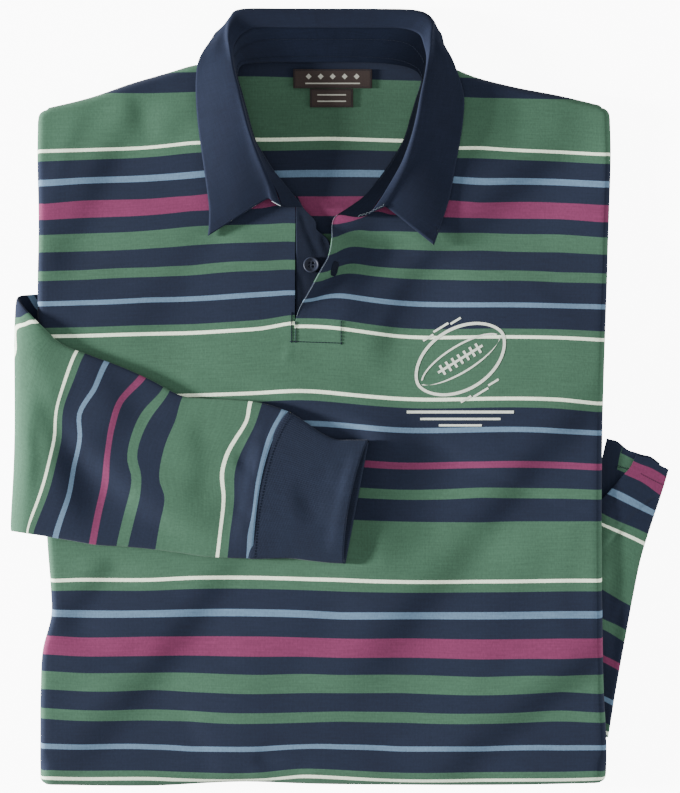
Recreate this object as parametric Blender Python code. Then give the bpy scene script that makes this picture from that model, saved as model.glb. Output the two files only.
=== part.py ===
"""A long-sleeved rugby shirt, folded for a shelf and lying on its back.

The sides and the left sleeve are folded behind, the tail is folded up behind them, and the
right sleeve comes round the left edge and lies across the front. X runs to the viewer's
right, Y towards the collar, Z up from the surface that the shirt lies on. Lengths are in
millimetres in the tables below, and MM turns them into metres where a mesh is made.
"""
import math
from collections import namedtuple

import bmesh
import bpy
import numpy as np

MM = 0.001

# Cloth and stack
JERSEY = 1.5          # wall of one ply of heavy cotton jersey
TWILL = 1.3           # collar, two plies of woven cotton pressed together
RIB = 1.6             # cuff
GAP = 0.3             # between neighbouring pieces
CHEST_STACK = 9.5     # height of the folded layers at the chest
LIFT = 6.0            # how much the tail and the sleeves raise the lower half
LIFT_TOP = 121.0      # the front begins to rise here
LIFT_FULL = 80.0      # and is fully raised here
BOTTOM_ROLL = 15.0    # the last stretch, where the front turns under as one roll
RETURN = 28.0         # how far the front panel runs back underneath
RETURN_CLEAR = 3.2    # from its end there to the layers inside
INSIDE_DROP = 4.2     # from the front panel's face down to the layers inside
NECK_DROP = 3.4       # from the front panel's face down to the back panel in the neck

# Body outline
CENTRE_X = -16.3      # centre line below the placket
NECK_LEFT = -78.75
NECK_RIGHT = 63.75
CORNER_ROUND = 7.0
SHOULDER_Y = 215.0    # the square corners of the outline lie at these two heights
HEM_Y = -290.0

Side = namedtuple("Side", "y left right")
SIDES = (
    Side(250.0, -225.0, 201.6),
    Side(214.0, -226.8, 202.8),
    Side(185.0, -227.4, 203.6),
    Side(140.0, -226.6, 202.4),
    Side(80.0, -226.7, 200.1),
    Side(0.0, -225.6, 197.4),
    Side(-77.0, -221.3, 196.2),
    Side(-115.0, -219.0, 196.3),
    Side(-145.0, -216.7, 196.4),
    Side(-162.0, -216.2, 196.7),
    Side(-190.0, -222.8, 197.0),
    Side(-220.0, -224.4, 197.8),
    Side(-260.0, -224.7, 199.8),
    Side(-300.0, -225.0, 199.6),
)

TopEdge = namedtuple("TopEdge", "x y")
TOP_EDGE = (
    TopEdge(-228.0, 215.0),
    TopEdge(-217.0, 217.4),
    TopEdge(-187.0, 224.8),
    TopEdge(-157.0, 235.1),
    TopEdge(-127.0, 243.9),
    TopEdge(-112.0, 248.4),
    TopEdge(-78.8, 252.0),
    TopEdge(-8.0, 252.0),
    TopEdge(63.8, 250.9),
    TopEdge(84.0, 247.0),
    TopEdge(98.0, 241.3),
    TopEdge(128.0, 233.2),
    TopEdge(167.0, 225.6),
    TopEdge(203.0, 217.0),
)

BottomEdge = namedtuple("BottomEdge", "x y")
BOTTOM_EDGE = (
    BottomEdge(-228.0, -291.3),
    BottomEdge(-142.0, -292.1),
    BottomEdge(-67.0, -289.0),
    BottomEdge(-29.0, -290.4),
    BottomEdge(46.0, -291.4),
    BottomEdge(121.0, -291.6),
    BottomEdge(200.0, -290.0),
)

Neckline = namedtuple("Neckline", "y left right")
NECKLINE = (
    Neckline(250.9, -78.7, 63.7),
    Neckline(240.4, -77.2, 61.9),
    Neckline(217.0, -70.9, 55.5),
    Neckline(193.9, -64.9, 49.1),
    Neckline(182.6, -58.9, 43.1),
    Neckline(168.4, -49.9, 34.5),
    Neckline(149.6, -33.4, 18.4),
    Neckline(136.9, -33.4, 0.8),
)
SLOT_LEFT = -33.4
SLOT_RIGHT = 0.8
SLOT_BOTTOM = 39.4

# Soft folds of the front panel: a line, half the width of its flank and its depth
Fold = namedtuple("Fold", "x0 y0 x1 y1 flank depth")
FOLDS = (
    Fold(-74.0, -118.0, -205.0, -282.0, 13.0, 1.9),
    Fold(205.0, 0.0, 100.0, -105.0, 15.0, 2.3),
    Fold(100.0, -105.0, 6.0, -228.0, 13.0, 2.1),
    Fold(205.0, -188.0, 86.0, -288.0, 12.0, 1.8),
    Fold(-140.0, 232.0, -206.0, 92.0, 11.0, 1.4),
    Fold(-94.0, 122.0, -150.0, 40.0, 12.0, 1.1),
    Fold(100.0, 118.0, 40.0, 32.0, 11.0, 1.3),
    Fold(196.0, 186.0, 140.0, 140.0, 12.0, 1.2),
)

PLACKET_RISE = 1.0    # how much higher the front lies beside the placket's two plies
PLACKET_DROP = 1.0    # how much lower the under side of the placket lies

# Mesh fineness of the front panel
COLUMNS = 11          # across each half
NECK_ROWS = 7
SLOT_ROWS = 6
FRONT_ROWS = 15       # from the placket down to the bottom fold
SIDE_ROWS = NECK_ROWS + SLOT_ROWS + FRONT_ROWS + 1
ROLL_ANGLES = (90.0, 52.0, 15.0, -25.0, -90.0)

# Colours
NAVY = (0.035, 0.045, 0.085)
GREEN = (0.09, 0.21, 0.13)
BUTTON_NAVY = (0.03, 0.04, 0.075)
LABEL_BROWN = (0.045, 0.03, 0.02)


def smoothstep(low, high, value):
    """Ease from 0 at low to 1 at high."""
    t = np.clip((np.asarray(value, float) - low) / (high - low), 0.0, 1.0)
    return t * t * (3.0 - 2.0 * t)


def follow(rows, column, at, along="y"):
    """Read one named column of a table at a place along another, on a smooth curve."""
    ordered = sorted(rows, key=lambda row: getattr(row, along))
    xs = np.array([getattr(row, along) for row in ordered])
    ys = np.array([getattr(row, column) for row in ordered])
    slopes = np.gradient(ys, xs)
    at = np.clip(np.asarray(at, float), xs[0], xs[-1])
    i = np.clip(np.searchsorted(xs, at) - 1, 0, len(xs) - 2)
    step = xs[i + 1] - xs[i]
    t = (at - xs[i]) / step
    return ((2 * t ** 3 - 3 * t ** 2 + 1) * ys[i] + (t ** 3 - 2 * t ** 2 + t) * step * slopes[i]
            + (3 * t ** 2 - 2 * t ** 3) * ys[i + 1] + (t ** 3 - t ** 2) * step * slopes[i + 1])


def lift(y):
    """How much the layers below raise the front at y."""
    return LIFT * (1.0 - smoothstep(LIFT_FULL, LIFT_TOP, y))


def roll_base(y):
    """Height of the underside of the edge roll: on the surface at the chest and at the bottom."""
    bottom = follow(BOTTOM_EDGE, "y", CENTRE_X, "x")
    return lift(y) * smoothstep(bottom + BOTTOM_ROLL * 0.5, bottom + BOTTOM_ROLL * 1.5, y)


def fold_depth(x, y, folds=FOLDS):
    """Sum of the soft folds at a point, each fading out towards both of its ends."""
    total = 0.0
    for fold in folds:
        dx, dy = fold.x1 - fold.x0, fold.y1 - fold.y0
        length = math.hypot(dx, dy)
        along = ((x - fold.x0) * dx + (y - fold.y0) * dy) / length ** 2
        across = ((x - fold.x0) * dy - (y - fold.y0) * dx) / length
        fade = smoothstep(-0.12, 0.18, along) * (1.0 - smoothstep(0.82, 1.12, along))
        total = total + fold.depth * fade * np.exp(-(across / fold.flank) ** 2)
    return total


def placket_rise(x, y):
    """The front stands a little higher beside the plies of the placket."""
    across = smoothstep(SLOT_LEFT, SLOT_LEFT + 0.4, x) * (1.0 - smoothstep(0.0, 24.0, x))
    down = smoothstep(SLOT_BOTTOM - 14.0, SLOT_BOTTOM, y) * (1.0 - smoothstep(112.0, 132.0, y))
    return PLACKET_RISE * across * down


def stack_top(y):
    """Height of the folded stack at y, before the folds in the front are taken off."""
    return CHEST_STACK + lift(y)


def front_top(x, y):
    """Height of the front panel's outer face."""
    return stack_top(y) - fold_depth(x, y) + placket_rise(x, y)


def eased(count):
    """Fractions from 0 to 1 that lie closer together at both ends."""
    t = np.linspace(0.0, 1.0, count + 1)
    return (t + (1.0 - np.cos(math.pi * t)) / 2.0) / 2.0


def corner_xy(side_x, side_y, inset):
    """Square corner of the outline after an inset; side_x and side_y are -1 or 1."""
    x = follow(SIDES, "left" if side_x < 0 else "right", SHOULDER_Y if side_y > 0 else HEM_Y)
    x = x - side_x * inset
    y = follow(TOP_EDGE if side_y > 0 else BOTTOM_EDGE, "y", x, "x") - side_y * inset
    return float(x), float(y)


def rounded(x, y, corner, side_x, side_y, inset, runs_down):
    """Bend a point near a square corner onto the corner's arc."""
    radius = CORNER_ROUND - inset
    distance = abs(y - corner[1]) if runs_down else abs(x - corner[0])
    if radius <= 0.0 or distance >= radius:
        return x, y
    angle = math.pi / 4.0 * (1.0 - distance / radius)
    inward = radius * (1.0 - math.cos(angle))
    along = radius * (1.0 - math.sin(angle))
    if runs_down:
        return corner[0] - side_x * inward, corner[1] - side_y * along
    return corner[0] - side_x * along, corner[1] - side_y * inward


def side_point(side_x, fraction, inset):
    """A point on the left or right side, from the shoulder corner down to the bottom corner."""
    top, bottom = corner_xy(side_x, 1, inset), corner_xy(side_x, -1, inset)
    y = top[1] + (bottom[1] - top[1]) * fraction
    x = float(follow(SIDES, "left" if side_x < 0 else "right", y)) - side_x * inset
    near, side_y = (top, 1) if fraction < 0.5 else (bottom, -1)
    return rounded(x, y, near, side_x, side_y, inset, True)


def edge_point(side_x, side_y, fraction, inset, middle):
    """A point on the top or bottom edge, from a corner to x = middle."""
    corner = corner_xy(side_x, side_y, inset)
    x = corner[0] + (middle - corner[0]) * fraction
    y = float(follow(TOP_EDGE if side_y > 0 else BOTTOM_EDGE, "y", x, "x")) - side_y * inset
    return rounded(x, y, corner, side_x, side_y, inset, False)


def rim_functions(columns, rows, top_left, top_right, middle):
    """Functions of an inset, one for each point round the outline: left shoulder, left side,
    bottom, right side and right shoulder."""
    across, down = eased(columns), eased(rows)
    rim = []
    for f in across[::-1]:
        rim.append(lambda d, f=f: edge_point(-1, 1, f, d, top_left))
    for f in down[1:]:
        rim.append(lambda d, f=f: side_point(-1, f, d))
    for f in across[1:]:
        rim.append(lambda d, f=f: edge_point(-1, -1, f, d, middle))
    for f in across[::-1][1:]:
        rim.append(lambda d, f=f: edge_point(1, -1, f, d, middle))
    for f in down[::-1][1:]:
        rim.append(lambda d, f=f: side_point(1, f, d))
    for f in across[1:]:
        rim.append(lambda d, f=f: edge_point(1, 1, f, d, top_right))
    return rim


class Sheet:
    """Quads gathered from grids of points, welded where the grids share an edge."""

    def __init__(self):
        self.points = []
        self.faces = []

    def add(self, grid, flip=False):
        grid = np.asarray(grid, float)
        rows, columns = grid.shape[:2]
        first = len(self.points)
        self.points.extend(grid.reshape(-1, 3))
        for i in range(rows - 1):
            for j in range(columns - 1):
                a = first + i * columns + j
                quad = (a, a + 1, a + columns + 1, a + columns)
                self.faces.append(quad[::-1] if flip else quad)
        return self

    def cap(self, loop, flip=False):
        first = len(self.points)
        self.points.extend(np.asarray(loop, float))
        face = tuple(range(first, len(self.points)))
        self.faces.append(face[::-1] if flip else face)
        return self

    def make(self, name, material, wall=None, even=True):
        """Weld the grids into one mesh; a wall gives the open surface its thickness inwards."""
        mesh = bpy.data.meshes.new(name)
        shape = bmesh.new()
        verts = [shape.verts.new(np.asarray(p) * MM) for p in self.points]
        for face in self.faces:
            shape.faces.new([verts[i] for i in face])
        bmesh.ops.remove_doubles(shape, verts=shape.verts, dist=0.02 * MM)
        shape.to_mesh(mesh)
        shape.free()
        mesh.materials.append(material)
        mesh.shade_smooth()
        piece = bpy.data.objects.new(name, mesh)
        bpy.context.scene.collection.objects.link(piece)
        if wall:
            solid = piece.modifiers.new("wall", "SOLIDIFY")
            solid.thickness = wall * MM
            solid.offset = -1.0
            solid.use_even_offset = even
            solid.use_quality_normals = True
        return piece


def material(name, colour, roughness):
    """One cloth, plastic or thread with its colour and roughness."""
    slot = bpy.data.materials.new(name)
    slot.use_nodes = True
    shader = slot.node_tree.nodes["Principled BSDF"]
    shader.inputs["Base Color"].default_value = (*colour, 1.0)
    shader.inputs["Roughness"].default_value = roughness
    shader.inputs["Metallic"].default_value = 0.0
    return slot


def coons(top, bottom, start, end, across, down):
    """Fill four boundary curves; top and bottom run across, start and end run down."""
    u, v = across[None, :, None], down[:, None, None]
    top, bottom = np.asarray(top)[None], np.asarray(bottom)[None]
    start, end = np.asarray(start)[:, None], np.asarray(end)[:, None]
    corners = ((1 - u) * (1 - v) * top[:, :1] + u * (1 - v) * top[:, -1:]
               + (1 - u) * v * bottom[:, :1] + u * v * bottom[:, -1:])
    return (1 - v) * top + v * bottom + (1 - u) * start + u * end - corners


def raised(plan, height):
    """Give the points of a plan their height."""
    return np.concatenate((plan, np.broadcast_to(height, plan.shape[:2])[..., None]), axis=2)


def blend(a, b, t):
    """Go from a to b as t goes from 0 to 1."""
    return a + (b - a) * t


def spline(knots, at):
    """A smooth curve through a few points, read at knot numbers."""
    knots = np.asarray(knots, float)
    slopes = np.gradient(knots, axis=0)
    at = np.asarray(at, float)
    i = np.clip(at.astype(int), 0, len(knots) - 2)
    t = (at - i)[:, None]
    return ((2 * t ** 3 - 3 * t ** 2 + 1) * knots[i] + (t ** 3 - 2 * t ** 2 + t) * slopes[i]
            + (3 * t ** 2 - 2 * t ** 3) * knots[i + 1] + (t ** 3 - t ** 2) * slopes[i + 1])


def along_line(points, count):
    """Evenly spaced points along a polyline."""
    points = np.asarray(points, float)
    steps = np.hypot(*np.diff(points, axis=0).T)
    reach = np.concatenate(([0.0], np.cumsum(steps)))
    at = np.linspace(0.0, reach[-1], count + 1)
    return np.stack([np.interp(at, reach, points[:, k]) for k in (0, 1)], axis=1)


def opening_edge(side, shoulder, bottom):
    """One side of the neck and placket opening, then the centre line, with one point a row."""
    slot_x = SLOT_LEFT if side == "left" else SLOT_RIGHT
    neck = [shoulder] + [(getattr(row, side), row.y) for row in NECKLINE[1:]]
    if side == "left":
        neck = neck[:-1]
    neck = along_line(neck, NECK_ROWS)
    slot = along_line([neck[-1], (slot_x, SLOT_BOTTOM)], SLOT_ROWS)
    centre = along_line([(CENTRE_X, SLOT_BOTTOM), bottom], FRONT_ROWS)
    return np.concatenate((neck, slot[1:], centre))


def front_panel(jersey):
    """Front panel: over the chest, cut out for neck and placket, rolled round every edge."""
    rim = rim_functions(COLUMNS, SIDE_ROWS, NECK_LEFT, NECK_RIGHT, CENTRE_X)
    across, down = eased(COLUMNS), eased(SIDE_ROWS)
    rings = []
    for place in rim:
        x0, y0 = place(0.0)
        base = float(roll_base(y0))
        radius = (float(stack_top(y0)) - base) / 2.0
        x1, y1 = place(radius)
        top = float(front_top(x1, y1))
        ring = []
        for angle in ROLL_ANGLES:
            inset = radius * (1.0 - math.cos(math.radians(angle)))
            x, y = place(inset)
            ring.append((x, y, base + (top - base) * (1.0 + math.sin(math.radians(angle))) / 2.0))
        x, y = place(RETURN)
        ring.append((x, y, base))
        rings.append(ring)
    rings = np.array(rings)
    inner = rings[:, 0, :2]
    shoulder_left, hem_left = COLUMNS, COLUMNS + SIDE_ROWS
    hem_middle, hem_right = hem_left + COLUMNS, hem_left + 2 * COLUMNS
    shoulder_right = hem_right + SIDE_ROWS
    left_open = opening_edge("left", inner[0], inner[hem_middle])
    right_open = opening_edge("right", inner[-1], inner[hem_middle])
    left = coons(inner[shoulder_left::-1], inner[hem_left:hem_middle + 1],
                 inner[shoulder_left:hem_left + 1], left_open, across, down)
    right = coons(inner[:shoulder_right - 1:-1], inner[hem_middle:hem_right + 1],
                  right_open, inner[hem_right:shoulder_right + 1][::-1], 1.0 - across[::-1], down)
    sheet = Sheet()
    for half in (left, right):
        sheet.add(raised(half, front_top(half[..., 0], half[..., 1])), flip=True)
    sheet.add(rings)
    return sheet.make("front_panel", jersey, JERSEY)


def neck_zone(x, y):
    """1 where the back panel shows in the neck and 0 well away from it."""
    across = smoothstep(-128.0, -100.0, x) * (1.0 - smoothstep(86.0, 114.0, x))
    return across * smoothstep(58.0, 86.0, y)


def inside_top(x, y):
    """Top of the layers inside, clear of every fold in the front panel."""
    deeper = NECK_DROP + JERSEY + GAP - INSIDE_DROP
    return stack_top(y) - INSIDE_DROP - deeper * neck_zone(x, y)


LowerInset = namedtuple("LowerInset", "y left right")
LOWER_INSET = (
    LowerInset(130.0, 26.0, 26.0),
    LowerInset(100.0, 24.0, 20.0),
    LowerInset(60.0, 23.0, 12.0),
    LowerInset(0.0, 23.0, 12.0),
    LowerInset(-25.0, 23.0, 17.0),
    LowerInset(-105.0, 23.0, 17.0),
    LowerInset(-135.0, 10.0, 17.0),
    LowerInset(-262.0, 10.0, 17.0),
    LowerInset(-300.0, 12.0, 17.0),
)


# Layers at the edge: each row is a point on the way from the top face down to the surface.
# Insets are shares of the edge roll's radius, and heights are shares of the space between.
TOP_INSET = 14.0      # the edge of the top face
TOP_SHOULDER = 1.16
TOP_GROOVE = 0.67
TOP_PINCH = 0.12
SURFACE_GAP = 0.45
LowerLayer = namedtuple("LowerLayer", "in_more height")
LOWER_LAYERS = (
    LowerLayer(0.0, 0.78),
    LowerLayer(2.4, 0.5),
    LowerLayer(0.0, 0.24),
    LowerLayer(1.8, 0.0),
)


def layered_edge(place):
    """Section through the edge of the folded layers, from the top face down to the surface."""
    x0, y0 = place(0.0)
    base = float(roll_base(y0))
    radius = (float(stack_top(y0)) - base) / 2.0
    inside = base + JERSEY + 2.0 * GAP
    upper = float(inside_top(*place(TOP_SHOULDER * radius)))
    low = max(base - 2.0 * GAP, SURFACE_GAP)
    edge = RETURN + RETURN_CLEAR
    spread = float(smoothstep(1.2, LIFT - 0.2, base))
    near = blend(edge, float(follow(LOWER_INSET, "left" if x0 < 0.0 else "right", y0)), spread)
    section = [
        (TOP_SHOULDER * radius, upper - TOP_PINCH * radius),
        (TOP_GROOVE * radius, (inside + upper) / 2.0),
        (TOP_SHOULDER * radius, inside + TOP_PINCH * radius),
        (edge, inside),
        (edge, low),
    ]
    section += [(near + layer.in_more * spread, low * layer.height) for layer in LOWER_LAYERS]
    x, y = place(TOP_INSET)
    ring = [(x, y, float(inside_top(x, y)))]
    for inset, height in section:
        ring.append((*place(inset), height))
    return ring


def folded_layers(jersey):
    """Everything folded inside and behind, as one rounded solid with grooves between layers."""
    middle = (NECK_LEFT + NECK_RIGHT) / 2.0
    rim = rim_functions(COLUMNS, SIDE_ROWS, middle, middle, CENTRE_X)
    loops = [layered_edge(place) for place in rim[:-1]]
    loops = np.array(loops + loops[:1])
    inner = loops[:, 0, :2]
    hem_left = COLUMNS + SIDE_ROWS
    hem_right = hem_left + 2 * COLUMNS
    shoulder_right = hem_right + SIDE_ROWS
    top = np.concatenate((inner[COLUMNS::-1], inner[shoulder_right:-1][::-1]))
    left = inner[COLUMNS:hem_left + 1]
    bottom = inner[hem_left:hem_right + 1]
    right = inner[hem_right:shoulder_right + 1][::-1]
    half = eased(COLUMNS) / 2.0
    across = np.concatenate((half, 1.0 - half[::-1][1:]))
    plan = coons(top, bottom, left, right, across, eased(SIDE_ROWS))
    sheet = Sheet().add(raised(plan, inside_top(plan[..., 0], plan[..., 1])), flip=True)
    sheet.add(loops)
    sheet.cap(loops[:-1, -1], flip=True)
    return sheet.make("folded_layers", jersey)


# Narrow pieces: each row of the table gives a piece's left and right edge
Strip = namedtuple("Strip", "left_x left_y right_x right_y")


def strip_plan(rows, across):
    """Spread points between the two ends of each row, at the given fractions."""
    rows = np.array(rows)
    left, right = rows[:, None, :2], rows[:, None, 2:]
    return left + (right - left) * np.asarray(across)[None, :, None]


def smooth_rows(rows, count):
    """More rows on smooth curves through the table's."""
    return spline(rows, np.linspace(0.0, len(rows) - 1.0, count + 1))


BACK_ROWS = (
    Strip(-71.0, 252.4, 56.0, 252.0),
    Strip(-76.0, 249.4, 61.0, 248.6),
    Strip(-86.0, 241.0, 71.0, 240.0),
    Strip(-82.0, 226.0, 67.0, 225.0),
    Strip(-76.0, 207.0, 62.0, 207.0),
    Strip(-71.0, 189.0, 56.0, 189.0),
    Strip(-63.0, 171.0, 46.0, 171.0),
    Strip(-54.0, 153.0, 33.0, 153.0),
    Strip(-46.0, 137.0, 16.0, 137.0),
    Strip(-42.0, 121.0, 10.0, 121.0),
    Strip(-40.0, 105.0, 8.0, 105.0),
)


def back_top(y):
    """Inner face of the back panel where it shows in the neck."""
    return stack_top(y) - NECK_DROP


def back_panel(jersey):
    """Back panel: the stretch that shows inside the neck, with a margin under the front."""
    plan = strip_plan(BACK_ROWS, np.linspace(0.0, 1.0, 9))
    return Sheet().add(raised(plan, back_top(plan[..., 1])), flip=True).make("back_panel", jersey, JERSEY)


UNDER_PLACKET_ROWS = (
    Strip(-33.0, 150.4, -32.0, 150.4),
    Strip(-33.0, 143.0, -27.0, 141.0),
    Strip(-33.0, 134.0, -18.0, 133.0),
    Strip(-33.0, 124.0, -13.0, 124.0),
    Strip(-33.0, 112.0, -6.5, 115.0),
    Strip(-33.0, 96.0, -3.5, 96.0),
    Strip(-33.0, 78.0, -1.5, 78.0),
    Strip(-33.0, 60.0, 0.3, 60.0),
    Strip(-33.0, 39.9, 0.3, 39.9),
)

UPPER_PLACKET_ROWS = (
    Strip(-6.0, 131.0, 0.4, 134.0),
    Strip(-6.2, 117.0, 0.4, 117.0),
    Strip(-7.5, 106.0, 0.4, 106.0),
    Strip(-17.2, 89.6, 0.4, 92.0),
    Strip(-25.5, 75.4, 0.4, 78.0),
    Strip(-31.5, 66.0, 0.4, 66.0),
    Strip(-33.0, 58.0, 0.4, 58.0),
    Strip(-33.0, 39.9, 0.4, 39.9),
)


def placket_under(twill):
    """Under side of the placket, faced in the collar's cloth."""
    plan = strip_plan(smooth_rows(UNDER_PLACKET_ROWS, 16), np.linspace(0.0, 1.0, 4))
    grid = raised(plan, stack_top(plan[..., 1]) - PLACKET_DROP)
    return Sheet().add(grid, flip=True).make("placket_under", twill, JERSEY)


def placket_upper(jersey):
    """Upper side of the placket, its free edge turned away to the right above the box."""
    plan = strip_plan(smooth_rows(UPPER_PLACKET_ROWS, 14), np.linspace(0.0, 1.0, 4))
    grid = raised(plan, stack_top(plan[..., 1]) + PLACKET_RISE)
    return Sheet().add(grid, flip=True).make("placket_upper", jersey, JERSEY)


# Collar: one section in each row, from the neck seam over the roll line to the leaf's edge.
# wrap is 0 where the leaf lies on the front and 1 where it is folded under at the back.
Section = namedtuple("Section", "neck_x neck_y roll_x roll_y edge_x edge_y roll_z edge_z wrap")
COLLAR = (
    Section(-35.3, 151.9, -52.5, 148.9, -99.0, 120.4, 14.5, 11.4, 0.0),
    Section(-42.0, 160.1, -55.5, 157.9, -98.3, 129.4, 16.0, 11.4, 0.0),
    Section(-50.3, 170.6, -60.0, 169.9, -98.3, 142.1, 18.0, 11.4, 0.0),
    Section(-57.8, 182.6, -65.3, 184.9, -100.5, 160.1, 20.0, 11.4, 0.0),
    Section(-63.8, 193.9, -69.8, 201.4, -103.5, 181.1, 21.5, 11.4, 0.0),
    Section(-69.0, 212.6, -74.3, 217.9, -106.5, 203.6, 22.0, 11.4, 0.0),
    Section(-73.5, 229.1, -78.0, 231.4, -108.0, 222.4, 21.5, 11.4, 0.0),
    Section(-76.5, 240.4, -81.0, 247.9, -108.0, 238.9, 19.5, 11.4, 0.0),
    Section(-74.3, 247.9, -84.0, 262.9, -105.8, 252.8, 17.0, 10.8, 0.25),
    Section(-65.3, 250.1, -85.6, 273.6, -98.0, 266.4, 14.0, 5.0, 0.6),
    Section(-51.8, 250.9, -83.6, 283.8, -90.2, 275.2, 11.0, 1.6, 0.9),
    Section(-36.8, 250.9, -75.4, 290.0, -78.0, 259.9, 9.0, 0.4, 1.0),
    Section(-21.8, 250.9, -42.8, 290.6, -44.3, 256.4, 8.4, 0.4, 1.0),
    Section(-6.0, 250.9, -6.8, 290.6, -6.8, 255.8, 8.4, 0.4, 1.0),
    Section(9.8, 250.9, 29.3, 290.4, 30.8, 256.4, 8.4, 0.4, 1.0),
    Section(24.8, 250.5, 58.6, 289.2, 62.0, 259.9, 9.0, 0.4, 1.0),
    Section(38.3, 249.4, 70.0, 283.4, 74.8, 273.6, 11.0, 1.6, 0.9),
    Section(50.3, 247.1, 69.8, 271.9, 78.8, 263.6, 14.0, 5.0, 0.6),
    Section(58.5, 242.6, 68.3, 259.9, 84.6, 252.6, 17.0, 10.8, 0.25),
    Section(60.8, 235.9, 65.3, 244.9, 89.0, 240.4, 19.5, 11.4, 0.0),
    Section(57.0, 223.9, 63.0, 228.4, 93.0, 225.4, 21.5, 11.4, 0.0),
    Section(52.5, 208.9, 60.8, 211.1, 92.3, 207.4, 22.0, 11.4, 0.0),
    Section(48.0, 193.9, 57.0, 193.9, 90.0, 190.9, 21.5, 11.4, 0.0),
    Section(39.8, 178.9, 51.8, 175.9, 86.3, 171.4, 20.0, 11.4, 0.0),
    Section(29.3, 163.9, 45.8, 162.4, 82.5, 150.4, 18.0, 11.4, 0.0),
    Section(17.3, 149.6, 39.8, 151.9, 76.5, 130.9, 16.0, 11.4, 0.0),
    Section(5.3, 139.9, 35.3, 145.1, 70.5, 113.6, 14.5, 11.4, 0.0),
)
COLLAR_STATIONS = 38
COLLAR_SEAM = 1.4     # where along a section's knots the stand ends and the fall begins
STAND_AT = (0.0, 0.5, 1.0, COLLAR_SEAM)
FALL_AT = (1.8, 2.2, 2.6, 3.0, 3.5, 4.0, 4.5, 5.0)
NECK_SIDE_Z = 11.4    # height of the neck seam at the sides
NECK_BACK_Z = 8.2     # and at the back, where the collar lies flattened
ROLL_INSIDE = 2.6     # half the width of the roll, on the neck's side
ROLL_OUTSIDE = 3.6    # and on the leaf's side
ROLL_BACK = 4.0       # how far in the flattened fold at the back begins


def collar_sections():
    """Six knots for each station along the collar, from the neck seam to the leaf's edge."""
    table = np.array(COLLAR)
    stations = spline(table, np.linspace(0.0, len(COLLAR) - 1.0, COLLAR_STATIONS + 1))
    sections = []
    for row in stations:
        at = Section(*row)
        wrap = min(max(at.wrap, 0.0), 1.0)
        neck, roll = np.array((at.neck_x, at.neck_y)), np.array((at.roll_x, at.roll_y))
        edge = np.array((at.edge_x, at.edge_y))
        out = (roll - neck) / np.linalg.norm(roll - neck)
        leafwards = (edge - roll) / np.linalg.norm(edge - roll)
        on_front = float(stack_top(at.edge_y)) + TWILL + 2.0 * GAP
        edge_z = blend(max(at.edge_z, on_front), at.edge_z, wrap)
        neck_z = blend(NECK_SIDE_Z, NECK_BACK_Z, wrap)
        stand_z = blend(neck_z + 0.55 * (at.roll_z - neck_z), neck_z + 0.5, wrap)
        inner = roll - out * blend(ROLL_INSIDE, ROLL_BACK, wrap)
        outer = roll + leafwards * blend(ROLL_OUTSIDE, 0.0, wrap)
        outer_z = blend(at.roll_z - 1.0, at.roll_z * 0.54, wrap)
        leaf = blend(roll, edge, 0.5)
        leaf_z = blend(blend(edge_z, at.roll_z, 0.62), edge_z + 0.2, wrap)
        sections.append((
            (*neck, neck_z),
            (*blend(neck, roll, 0.45), stand_z),
            (*inner, at.roll_z),
            (*outer, outer_z),
            (*leaf, leaf_z),
            (*edge, edge_z),
        ))
    return sections


def collar_pieces(twill):
    """Collar stand inside the neck and the fall, which meet just inside the roll line."""
    stand, fall = [], []
    for knots in collar_sections():
        seam = 1.2 * GAP / np.linalg.norm(np.subtract(knots[2], knots[1]))
        stand.append(spline(knots, STAND_AT))
        fall.append(spline(knots, (COLLAR_SEAM + seam, *FALL_AT)))
    Sheet().add(np.array(stand), flip=True).make("collar_stand", twill, TWILL, even=False)
    Sheet().add(np.array(fall), flip=True).make("collar_fall", twill, TWILL, even=False)


# Right sleeve: the tube's upper and lower edges from the cuff seam to the run underneath.
# turn is 90 where the tube lies on the front, 180 at the fold and 270 underneath.
Tube = namedtuple("Tube", "upper_x upper_y lower_x lower_y turn thick")
SLEEVE = (
    Tube(-37.9, -11.3, -65.6, -121.0, 90.0, 5.6),
    Tube(-57.8, -4.9, -80.3, -120.8, 90.0, 5.6),
    Tube(-78.0, -2.6, -100.5, -119.6, 90.0, 5.6),
    Tube(-100.5, -1.5, -120.8, -116.6, 90.0, 5.6),
    Tube(-119.3, 0.8, -141.8, -114.0, 90.0, 5.6),
    Tube(-141.8, 12.4, -162.8, -112.1, 90.0, 5.6),
    Tube(-164.3, 22.5, -182.3, -110.9, 90.0, 5.6),
    Tube(-186.8, 30.8, -201.8, -107.6, 90.0, 5.6),
    Tube(-207.8, 39.4, -219.8, -104.6, 90.0, 5.6),
    Tube(-221.3, 51.4, -231.8, -102.8, 90.0, 5.6),
    Tube(-234.0, 64.0, -240.2, -101.6, 125.0, 5.4),
    Tube(-240.0, 71.0, -245.0, -101.0, 155.0, 5.2),
    Tube(-241.6, 74.0, -245.8, -101.0, 180.0, 5.2),
    Tube(-238.5, 76.0, -243.2, -101.4, 215.0, 5.2),
    Tube(-227.0, 77.0, -229.0, -103.4, 270.0, 5.2),
    Tube(-206.5, 79.0, -207.5, -105.0, 270.0, 5.2),
)

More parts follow.
